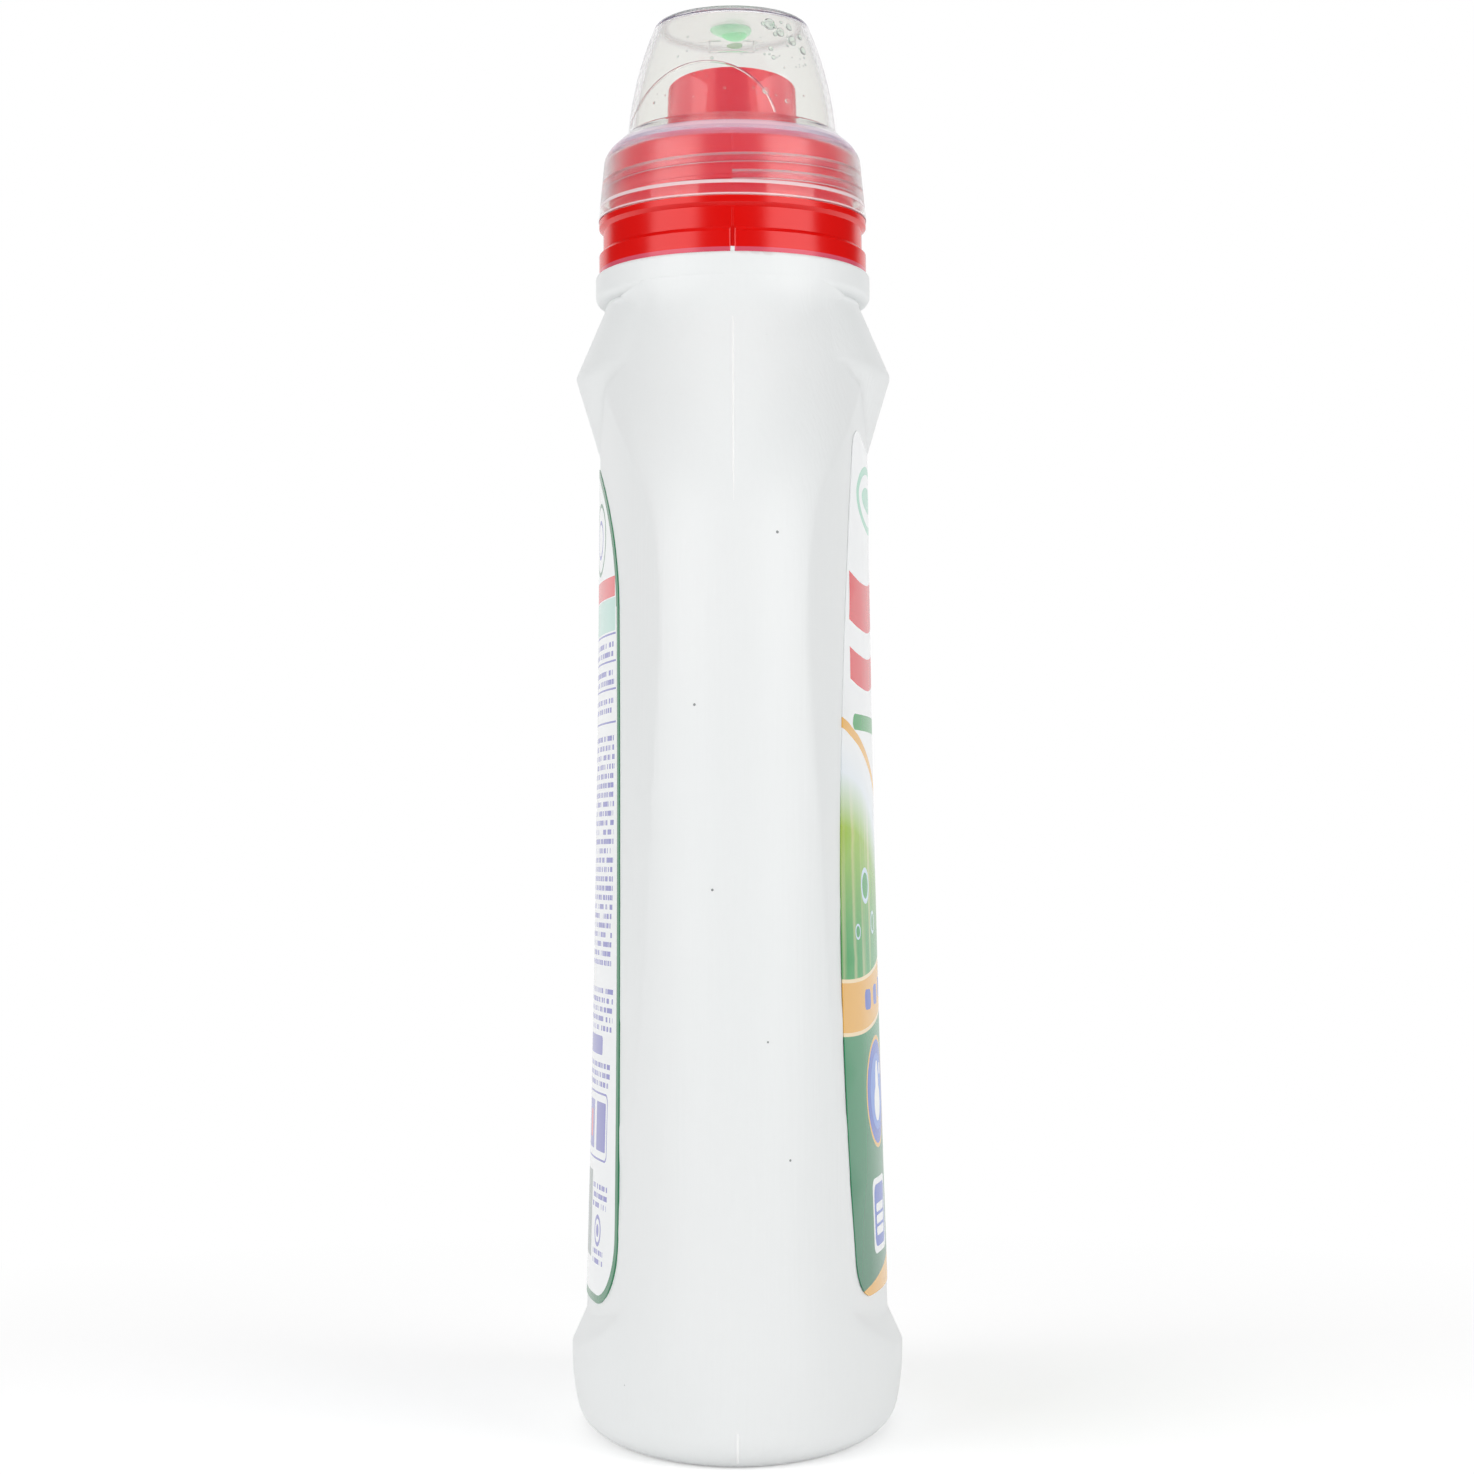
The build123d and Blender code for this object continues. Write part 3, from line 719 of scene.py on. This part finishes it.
for centre, half in (
    ((0, 148.4), (28, 1.6)),
    ((0, 143.2), (28.5, 1.6)),
    ((0, 137.9), (28.5, 1.6)),
    ((0, 110.8), (29.5, 21.7)),
    ((-6, 81.0), (25, 4.2)),
    ((-6, 68.7), (24, 2.4)),
    ((-23.5, 46.0), (6.5, 2.5)),
    ((-23.5, 34.6), (5.0, 1.6)),
    ((22, 60), (10.5, 6.2)),
    ((23, 42), (10.0, 8.0)),
):
    design = print_on(tree, design, lines, violet, box(tree, point, centre, half, 0.1))
for centre, half, corner, ink in (
    ((-8, 74.2), (16, 1.8), 0.8, violet),
    ((-18, 59), (11, 6.4), 1.6, violet),
    ((-18, 59), (10.6, 6.0), 1.4, paper),
    ((-23.5, 59), (4.2, 4.6), 0.4, violet),
    ((-12.5, 59), (4.2, 4.6), 0.4, violet),
    ((-12.5, 59), (1.6, 2.6), 0.6, linear(heading_hex)),
    ((-3, 42), (13, 8.2), 0.2, linear(grey_hex)),
):
    design = print_on(tree, design, box(tree, point, centre, half, corner), ink)
for half, ink in ((3.0, violet), (2.2, paper), (1.2, violet)):
    design = print_on(tree, design, oval(tree, point, (-23, 39.5), (half, half)), ink)
film_on(tree, design)
nodes["back_label"].material_slots[0].material = back_film

back_top_mm = arch_centre_mm + arch_radius_mm
film_rows = 170
film_columns = 81
film_lift = 0.00014
film_depth = 0.00060
film_smoothings = 8
in_front_y = 0.1
outward_least = 0.7
bow_width = 0.04
bow_height = 0.2


def back_half_width(z):
    """Half width in millimetres at height z: round corners, then sides that lean in, then the circle
    of the arch."""
    side = back_bottom_half_mm + (arch_foot_half_mm - back_bottom_half_mm) * (z - back_bottom_mm) / (
        arch_foot_mm - back_bottom_mm
    )
    below = np.clip(back_bottom_mm + back_corner_mm - z, 0, back_corner_mm)
    corner = side - back_corner_mm + np.sqrt(back_corner_mm**2 - below**2)
    arch = np.sqrt(np.clip(arch_radius_mm**2 - (z - arch_centre_mm) ** 2, 0, None))
    return np.where(z > arch_foot_mm, arch, corner)


def bowed(x, z):
    """Terms of a smooth even surface: x to the powers 0, 2 and 4 times z to the powers 0 to 4."""
    across, up = x / bow_width, z / bow_height
    return np.stack([across**i * up**j for i in (0, 2, 4) for j in range(5)], -1)


# The smooth surface that fits the node's outer face best, in the sense of least squares.
label_mesh = nodes["back_label"].data
corners = np.empty(len(label_mesh.vertices) * 3)
label_mesh.vertices.foreach_get("co", corners)
facing = np.empty(len(label_mesh.vertices) * 3)
label_mesh.vertices.foreach_get("normal", facing)
face = corners.reshape(-1, 3)[facing.reshape(-1, 3)[:, 1] > outward_least]
bow = np.linalg.lstsq(bowed(face[:, 0], face[:, 2]), face[:, 1], rcond=None)[0]

# The film follows that surface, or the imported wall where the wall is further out, and is smoothed.
climb = (1 - np.cos(np.linspace(0, math.pi, film_rows))) / 2
z = np.tile((back_bottom_mm + (back_top_mm - back_bottom_mm) * climb)[:, None], (1, film_columns))
x = back_half_width(z) * np.linspace(-1, 1, film_columns)[None, :]
x, z = x / 1000, z / 1000
far = np.stack([x, np.full(x.shape, in_front_y), z], -1)
wall = dropped_on(nodes["bottle"], far.reshape(-1, 3), "y").reshape(far.shape)[..., 1] + film_lift
y = np.maximum(bowed(x, z) @ bow, wall)
for _ in range(film_smoothings):
    y[1:-1] = (y[:-2] + 2 * y[1:-1] + y[2:]) / 4
    y[:, 1:-1] = (y[:, :-2] + 2 * y[:, 1:-1] + y[:, 2:]) / 4
y = np.maximum(y, wall)
outer = np.stack([x, y, z], -1)
behind = outer - np.array((0, film_depth, 0))
middle = (outer + behind) / 2
film_rings = np.concatenate([outer, behind[:, ::-1]], 1)
closing = np.concatenate([middle, middle[:, ::-1]], 1)
film_rings = np.concatenate([closing[:1], film_rings, closing[-1:]])
film = make_piece("back_label_film", [film_rings], back_film, "bottle")
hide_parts("back_label")

# Pouring spout
# Red polypropylene, injection moulded in a polished tool: glossy, with the slightly uneven
# mirror of a moulded skin. Its collar and its carrier have a fine line where the tool opened.
red_pp_hex = "E60702"
# The pink is a painted reflection: the white bead below, mirrored in the collar's rounded lower edge.
bead_reflection_hex = "DE5A70"
bead_reflection_top = 0.2234
bead_reflection_blend = 0.0001
pp_ior = 1.52
red_pp_roughness = 0.22
red_pp_roughness_sway = 0.03
red_gleam_hex = "FFB0B0"
red_gleam_level = 1.0
skin_sway_mm = 7
skin_sway_height_mm = 0.012

red_pp, tree = new_material("red_polypropylene_moulded")
place = add(tree, "TexCoord").outputs["Object"]
height = add(tree, "SeparateXYZ", {0: place}).outputs["Z"]
# Painted reflection: below this height the collar's red turns pink, standing in for the white bead
# mirrored in its edge.
thin = add(tree, "MapRange", {0: height, 1: bead_reflection_top + bead_reflection_blend, 2: bead_reflection_top})
pigment_and_reflection = add(
    tree,
    "Mix",
    {0: thin.outputs[0], 6: linear(red_pp_hex), 7: linear(bead_reflection_hex)},
    data_type="RGBA",
)
sway = add(tree, "TexNoise", {"Vector": place, "Scale": 1000 / skin_sway_mm, "Detail": 1.0})
relief = add(
    tree,
    "Bump",
    {"Height": sway.outputs[0], "Strength": 1.0, "Distance": skin_sway_height_mm / 1000},
)
gloss = add(
    tree,
    "MapRange",
    {
        0: sway.outputs[0],
        3: red_pp_roughness - red_pp_roughness_sway,
        4: red_pp_roughness + red_pp_roughness_sway,
    },
)
plastic = add(
    tree,
    "BsdfPrincipled",
    {
        "Base Color": pigment_and_reflection.outputs[2],
        "Roughness": gloss.outputs[0],
        "IOR": pp_ior,
        "Specular IOR Level": red_gleam_level,
        "Specular Tint": linear(red_gleam_hex),
        "Normal": relief.outputs[0],
    },
)
add(tree, "OutputMaterial", {"Surface": plastic.outputs[0]})
nodes["pour_spout"].material_slots[0].material = red_pp

collar_band_radius = 0.0252
collar_ring_top = 0.2274
flange_bottom = 0.2311
carrier_radius = 0.0233
carrier_bottom = 0.2340
carrier_top = 0.2450
seam_half_width = 0.00022
seam_height = 0.00012
slot_edge_radius = 0.02590
slot_edge_side = 0.00050
slot_bottom = 0.22268
slot_top = 0.2269
slot_floor_radius = 0.02555
slot_floor_bottom = 0.22315
slot_edge_section = (1, 0.8)
slot_floor_section = (2.0, 2.6)

seam_section = np.array(
    [
        (-seam_height, -seam_half_width),
        (0.6 * seam_height, -0.7 * seam_half_width),
        (seam_height, 0),
        (0.6 * seam_height, 0.7 * seam_half_width),
        (-seam_height, seam_half_width),
    ]
)
seam_grids = []
for sign in (-1, 1):
    for radius, bottom, top in (
        (collar_band_radius, collar_ring_top, flange_bottom),
        (carrier_radius, carrier_bottom, carrier_top),
    ):
        path = np.array([(sign * radius, 0, bottom), (sign * radius, 0, top)])
        out = np.tile((sign, 0.0, 0.0), (2, 1))
        across_seam = np.tile((0.0, 1.0, 0.0), (2, 1))
        seam_grids.append(bar_along(path, out, across_seam, seam_section, np.ones(2)))
front_out = np.tile((-1.0, 0.0, 0.0), (2, 1))
front_across = np.tile((0.0, 1.0, 0.0), (2, 1))
for radius, y, bottom, size in (
    (slot_edge_radius, -slot_edge_side, slot_bottom, slot_edge_section),
    (slot_edge_radius, slot_edge_side, slot_bottom, slot_edge_section),
    (slot_floor_radius, 0, slot_floor_bottom, slot_floor_section),
):
    path = np.array([(-radius, y, bottom), (-radius, y, slot_top)])
    seam_grids.append(bar_along(path, front_out, front_across, seam_section * size, np.ones(2)))
make_piece("spout_mould_line", seam_grids, red_pp, "bottle")

# Threads
# The cap's thread is a coarse ridge inside its skirt, and the spout's thread stands out of the
# carrier half a turn further up. Both are right-handed and start with a square end.
thread_pitch = 0.0033
cap_thread_start = 0.2372
cap_thread_turns = 1.45
cap_thread_depth = 0.00075
cap_thread_root = 0.00185
cap_thread_crest = 0.00120
cap_thread_gap = 0.00003
cap_thread_angle_deg = 180
spout_thread_start = 0.2356
spout_thread_turns = 1.6
spout_thread_depth = 0.00055
spout_thread_root = 0.0013
spout_thread_crest = 0.0006
spout_thread_sink = 0.00005
spout_thread_angle_deg = 20
steps_per_turn = 140
skirt_bottom = 0.2333
skirt_height = 0.0119
skirt_bottom_radius = 0.0261
skirt_top_radius = 0.0249
cap_wall = 0.0012


def thread_rows(wall_radius, inward, start_angle, start, turns, depth, root, crest):
    """Rows of a thread ridge: its middle climbs by the pitch in each turn along a helix on the wall,
    and its section is a trapezium of the given depth, wider at the root than at the crest."""
    steps = int(steps_per_turn * turns)
    angle = start_angle + np.linspace(0, 2 * math.pi * turns, steps)
    height = start + thread_pitch * (angle - start_angle) / (2 * math.pi)
    out = np.stack([np.cos(angle), np.sin(angle), np.zeros(steps)], 1)
    path = out * wall_radius(height)[:, None]
    path[:, 2] = height
    up = np.tile((0.0, 0.0, 1.0), (steps, 1))
    section = np.array([(0, -root / 2), (depth, -crest / 2), (depth, crest / 2), (0, root / 2)])
    return bar_along(path, -out if inward else out, up, section, np.ones(steps))


spout_thread = thread_rows(
    lambda z: np.full_like(z, carrier_radius - spout_thread_sink),
    False,
    math.radians(spout_thread_angle_deg),
    spout_thread_start,
    spout_thread_turns,
    spout_thread_depth,
    spout_thread_root,
    spout_thread_crest,
)
make_piece("spout_thread", [spout_thread], red_pp, "bottle")

# Dosing cap
# Natural polypropylene, clear with a faint cold haze. The cup is polished; the skirt's tool was
# eroded, so it is frosted down to the bare rim that stands on the flange. Its ledges, edges and
# the cup's top rim carry a painted highlight: a pale milky veil where their lit edges show bright.
# The IOR is below the real 1.49, which would darken the edges of walls this thin.
clear_hex = "FAFBF6"
haze_hex = "C6AAEC"
# The level and crown colours and shares are painted highlight: pale lines on the ledges, edges and top
# rim.
level_highlight_hex = "F6ECF0"
crown_highlight_hex = "DDE8E4"
clear_shadow_hex = "FCFCFB"
cup_haze = 0.034
skirt_haze = 0.028
rim_haze = 0.028
level_highlight_share = 0.55
crown_highlight_share = 0.30
crown_foot = 0.2702
crown_top = 0.2714
crown_inside = 0.0122
crown_outside = 0.0134
edge_line = 0.0003
level_start = 0.4
level_full = 0.85
cap_sway_mm = 9
cap_sway_height_mm = 0.02
cap_ior = 1.36
cup_roughness = 0.06
skirt_roughness = 0.22
rim_roughness = 0.07
rim_top = 0.2358
rim_blend = 0.0003
frost_top = 0.2464
frost_blend = 0.0012
ledge_top = 0.2478
ledge_blend = 0.0002


def let_light_in(tree, surface, colour):
    """Ends a clear material: lamps and bounced light pass it straight, tinted by the colour, as they
    nearly do through thin plastic, so what stands behind it is lit once."""
    ray = add(tree, "LightPath")
    through = add(tree, "BsdfTransparent", {"Color": colour}).outputs[0]
    for passing in ("Is Diffuse Ray", "Is Shadow Ray"):
        surface = add(tree, "MixShader", {0: ray.outputs[passing], 1: surface, 2: through}).outputs[0]
    add(tree, "OutputMaterial", {"Surface": surface})


clear_pp, tree = new_material("clear_polypropylene_moulded")
place = add(tree, "TexCoord").outputs["Object"]
height = add(tree, "SeparateXYZ", {0: place}).outputs["Z"]
frost = add(tree, "MapRange", {0: height, 1: frost_top + frost_blend, 2: frost_top}).outputs[0]
bare = add(tree, "MapRange", {0: height, 1: rim_top, 2: rim_top - rim_blend}).outputs[0]
rough = add(tree, "MapRange", {0: frost, 3: cup_roughness, 4: skirt_roughness}).outputs[0]
rough = add(tree, "Mix", {0: bare, 2: rough, 3: rim_roughness}).outputs[0]
haze_and_painted_highlight = add(tree, "MapRange", {0: frost, 3: cup_haze, 4: skirt_haze}).outputs[0]
haze_and_painted_highlight = add(tree, "Mix", {0: bare, 2: haze_and_painted_highlight, 3: rim_haze}).outputs[0]
# Painted highlight: faces that face up or down below the ledge, and thin lines at the skirt's foot and
# the rim's top, get a pale milky veil that stands in for the light their edges catch.
facing = add(tree, "SeparateXYZ", {0: add(tree, "NewGeometry").outputs["True Normal"]}).outputs["Z"]
level = add(tree, "Math", {0: facing}, operation="ABSOLUTE").outputs[0]
level = add(tree, "MapRange", {0: level, 1: level_start, 2: level_full}).outputs[0]
skirt = add(tree, "MapRange", {0: height, 1: ledge_top + ledge_blend, 2: ledge_top}).outputs[0]
level = add(tree, "Math", {0: level, 1: skirt}, operation="MULTIPLY").outputs[0]
for edge in (skirt_bottom, rim_top):
    beside = add(tree, "Math", {0: height, 1: edge, 2: edge_line}, operation="COMPARE").outputs[0]
    level = add(tree, "Math", {0: level, 1: beside}, operation="MAXIMUM").outputs[0]
haze_and_painted_highlight = add(tree, "Mix", {0: level, 2: haze_and_painted_highlight, 3: level_highlight_share}).outputs[0]
# Painted highlight: a pale milky band on the outer edge of the cup's top rim, standing in for the
# bright line the rim shows.
crown = add(tree, "MapRange", {0: height, 1: crown_foot, 2: crown_top}).outputs[0]
spoke = add(tree, "VectorMath", {0: place, 1: (1, 1, 0)}, operation="MULTIPLY").outputs[0]
spoke = add(tree, "VectorMath", {0: spoke}, operation="LENGTH").outputs["Value"]
outer_edge = add(tree, "MapRange", {0: spoke, 1: crown_inside, 2: crown_outside}).outputs[0]
crown = add(tree, "Math", {0: crown, 1: outer_edge}, operation="MULTIPLY").outputs[0]
haze_and_painted_highlight = add(tree, "Mix", {0: crown, 2: haze_and_painted_highlight, 3: crown_highlight_share}).outputs[0]
sway = add(tree, "TexNoise", {"Vector": place, "Scale": 1000 / cap_sway_mm, "Detail": 1.0})
relief = add(
    tree,
    "Bump",
    {"Height": sway.outputs[0], "Strength": 1.0, "Distance": cap_sway_height_mm / 1000},
)
pane = add(
    tree,
    "BsdfPrincipled",
    {
        "Base Color": linear(clear_hex),
        "Roughness": rough,
        "IOR": cap_ior,
        "Transmission Weight": 1.0,
        "Normal": relief.outputs[0],
    },
)
veil_colour_and_painted_highlight = add(tree, "Mix", {0: level, 6: linear(haze_hex), 7: linear(level_highlight_hex)}, data_type="RGBA")
veil_colour_and_painted_highlight = add(tree, "Mix", {0: crown, 6: veil_colour_and_painted_highlight.outputs[2], 7: linear(crown_highlight_hex)}, data_type="RGBA")
veil_and_painted_highlight = add(tree, "BsdfDiffuse", {"Color": veil_colour_and_painted_highlight.outputs[2]})
hazy_and_painted_highlight = add(tree, "MixShader", {0: haze_and_painted_highlight, 1: pane.outputs[0], 2: veil_and_painted_highlight.outputs[0]})
let_light_in(tree, hazy_and_painted_highlight.outputs[0], linear(clear_shadow_hex))
nodes["dosing_cap"].material_slots[0].material = clear_pp


def skirt_bore(z):
    """Radius of the skirt's inner face at height z: the outer cone less the wall."""
    share = (z - skirt_bottom) / skirt_height
    return skirt_bottom_radius + (skirt_top_radius - skirt_bottom_radius) * share - cap_wall


cap_thread = thread_rows(
    lambda z: skirt_bore(z) - cap_thread_gap,
    True,
    math.radians(cap_thread_angle_deg),
    cap_thread_start,
    cap_thread_turns,
    cap_thread_depth,
    cap_thread_root,
    cap_thread_crest,
)
make_piece("cap_thread", [cap_thread], clear_pp, "cap")

# Dose marks and flow line
# Fine raised ticks on the cup's near side mark the dose, and a thin arc inside it is left where
# the plastic met in the mould.
cup_foot = 0.2501
cup_height = 0.0219
cup_foot_radius = 0.0203
cup_top_radius = 0.0146
cup_bulge = 0.0010
mark_half_width = 0.00018
mark_height = 0.00017
mark_top = 0.2642
mark_foot = 0.2619
mark_reach = 0.0060
mark_steps = 24
arc_centre_y = 0.0055
arc_centre_z = 0.2470
arc_half_width_y = 0.0140
arc_rise = 0.0133
arc_line_half_width = 0.00023
arc_line_height = 0.00022


def cup_radius(z):
    """Outer radius of the cup at height z: a straight taper plus a parabola for its bulge."""
    share = (z - cup_foot) / cup_height
    straight = cup_foot_radius + (cup_top_radius - cup_foot_radius) * share
    return straight + 4 * cup_bulge * share * (1 - share)


def line_on_cup(y, z, inset, inward, half_width, height):
    """Rows of a fine ridge on the near side of the cup through the given y and z: x follows from the
    cup's radius less the inset, and the ridge stands out of the wall across its own path."""
    radius = cup_radius(z) - inset
    path = np.stack([-np.sqrt(radius**2 - y**2), y, z], 1)
    out = path * (1, 1, 0) / radius[:, None] * (-1 if inward else 1)
    across_path = np.cross(out, np.gradient(path, axis=0))
    across_path /= np.linalg.norm(across_path, axis=1, keepdims=True)
    section = np.array([(-0.3, -1), (0.7, -0.6), (1, 0), (0.7, 0.6), (-0.3, 1)]) * (height, half_width)
    return bar_along(path, out, across_path, section, np.ones(len(y)))


mark_grids = [
    line_on_cup(
        np.linspace(y_start, y_end, mark_steps) * mark_reach,
        np.linspace(z_start, z_end, mark_steps),
        0,
        False,
        mark_half_width,
        mark_height,
    )
    for y_start, y_end, z_start, z_end in (
        (-1, -0.35, mark_top, mark_top),
        (0.35, 1, mark_top, mark_top),
        (-0.7, 0.7, mark_foot, mark_foot),
        (-0.7, -0.7, mark_foot, mark_top),
        (0.7, 0.7, mark_foot, mark_top),
    )
]
make_piece("dose_marks", mark_grids, clear_pp, "cap")
sweep = np.linspace(-1.30, 1.25, 120)
flow_line = line_on_cup(
    arc_centre_y + arc_half_width_y * np.sin(sweep),
    arc_centre_z + arc_rise * np.cos(sweep),
    cap_wall,
    True,
    arc_line_half_width,
    arc_line_height,
)
make_piece("flow_line", [flow_line], clear_pp, "cap")

# Residue
# What the last dose left in the cup: drops of cloudy green gel, which hang from the ceiling and glow
# in the light from above, and clear droplets and bubbles, most of them at the upper right.
ceiling = 0.2708
gel_hex = "C6F2D4"
gel_pale_hex = "EAFBEE"
gel_roughness = 0.10
gel_clearness = 0.85
gel_cloud = 0.38
gel_ior = 1.38
gel_swirl_mm = 3
drop_hex = "EEF7F2"
drop_roughness = 0.03
drop_ripple_mm = 2
drop_ripple_height_mm = 0.01
drop_foot = 0.00004
slope_step = 0.0005

gel, tree = new_material("detergent_gel_residue")
place = add(tree, "TexCoord").outputs["Object"]
swirl = add(tree, "TexNoise", {"Vector": place, "Scale": 1000 / gel_swirl_mm, "Detail": 2.0})
depth = add(
    tree,
    "Mix",
    {0: swirl.outputs[0], 6: linear(gel_hex), 7: linear(gel_pale_hex)},
    data_type="RGBA",
)
jelly = add(
    tree,
    "BsdfPrincipled",
    {
        "Base Color": depth.outputs[2],
        "Roughness": gel_roughness,
        "IOR": gel_ior,
        "Transmission Weight": gel_clearness,
    },
)
cloudy = add(tree, "BsdfTranslucent", {"Color": depth.outputs[2]})
jelly = add(tree, "MixShader", {0: gel_cloud, 1: jelly.outputs[0], 2: cloudy.outputs[0]})
let_light_in(tree, jelly.outputs[0], linear(gel_pale_hex))

wet, tree = new_material("detergent_droplets")
place = add(tree, "TexCoord").outputs["Object"]
ripple = add(tree, "TexNoise", {"Vector": place, "Scale": 1000 / drop_ripple_mm, "Detail": 1.0})
relief = add(
    tree,
    "Bump",
    {"Height": ripple.outputs[0], "Strength": 1.0, "Distance": drop_ripple_height_mm / 1000},
)
watery = add(
    tree,
    "BsdfPrincipled",
    {
        "Base Color": linear(drop_hex),
        "Roughness": drop_roughness,
        "IOR": gel_ior,
        "Transmission Weight": 1.0,
        "Normal": relief.outputs[0],
    },
)
let_light_in(tree, watery.outputs[0], linear(drop_hex))


def drop_rows(centre, out, along, sizes, wobble=0.0):
    """Rows of a drop: half an ellipsoid, whose rings lie at the sine of their angle from its middle and
    at its cosine above the wall, with a foot just inside the wall. A wobble makes its rim uneven."""
    across_drop = np.cross(out, along)
    tilt = np.linspace(0, math.pi / 2, 8)[:, None, None]
    turn = np.linspace(0, 2 * math.pi, 28, endpoint=False)[None, :, None]
    rim = 1 + wobble * np.sin(2 * turn + 1) + 0.6 * wobble * np.sin(3 * turn)
    flat = np.cos(turn) * along * sizes[0] + np.sin(turn) * across_drop * sizes[1]
    shell = centre + np.sin(tilt) * rim * flat + np.cos(tilt) * out * sizes[2]
    foot = shell[-1:] - out * drop_foot
    middle = np.broadcast_to(foot.mean(1, keepdims=True), foot.shape)
    return np.concatenate([shell, foot, middle])


def drop_on_cup(y, z, sizes, wobble=0.0):
    """A drop on the inside of the cup's near wall at y and z, square to the wall there."""
    radius = cup_radius(z) - cap_wall
    lean = (cup_radius(z + slope_step) - cup_radius(z - slope_step)) / (2 * slope_step)
    spoke = np.array((-math.sqrt(radius**2 - y**2), y, 0)) / radius
    along = spoke * lean + (0, 0, 1)
    along /= np.linalg.norm(along)
    out = -spoke + np.array((0, 0, lean))
    out /= np.linalg.norm(out)
    return drop_rows(spoke * radius + (0, 0, z), out, along, sizes, wobble)


down = np.array((0.0, 0.0, -1.0))
forward = np.array((1.0, 0.0, 0.0))
pool = np.array((0, 0, ceiling))
lobe = np.array((0.0002, -0.0006, ceiling - 0.0009))
gel_drops = [
    drop_rows(pool, down, forward, (0.0043, 0.0043, 0.0012), 0.07),
    drop_rows(lobe, down, forward, (0.0024, 0.0026, 0.0011), 0.05),
    drop_on_cup(-0.0006, 0.2632, (0.0006, 0.0016, 0.0004), 0.1),
]
make_piece("gel_drops", gel_drops, gel, "cap", 60)

chance = np.random.default_rng(11)
clear_drops = [
    drop_on_cup(y, z, (0.9 * size, size, 0.45 * size), 0.08)
    for y, z, size in (
        (-0.0063, 0.2545, 0.0007),
        (-0.0103, 0.2530, 0.0005),
        (-0.0070, 0.2682, 0.0013),
        (-0.0090, 0.2668, 0.0010),
        (-0.0106, 0.2683, 0.0008),
        (-0.0112, 0.2655, 0.0011),
        (-0.0126, 0.2668, 0.0007),
        (-0.0132, 0.2640, 0.0009),
    )
]
clear_drops += [
    drop_on_cup(y, z, (size, size, 0.5 * size), 0.05)
    for y, z, size in zip(
        chance.uniform(-0.0140, -0.0040, 26),
        chance.uniform(0.2600, 0.2690, 26),
        0.00015 + 0.0005 * chance.uniform(0, 1, 26) ** 3,
    )
]
clear_drops += [
    drop_on_cup(y, z, (size, size, 0.5 * size))
    for y, z, size in zip(
        chance.uniform(-0.0145, 0.0145, 34),
        chance.uniform(0.2530, 0.2670, 34),
        0.00012 + 0.0002 * chance.uniform(0, 1, 34) ** 2,
    )
]
make_piece("clear_droplets", clear_drops, wet, "cap", 60)
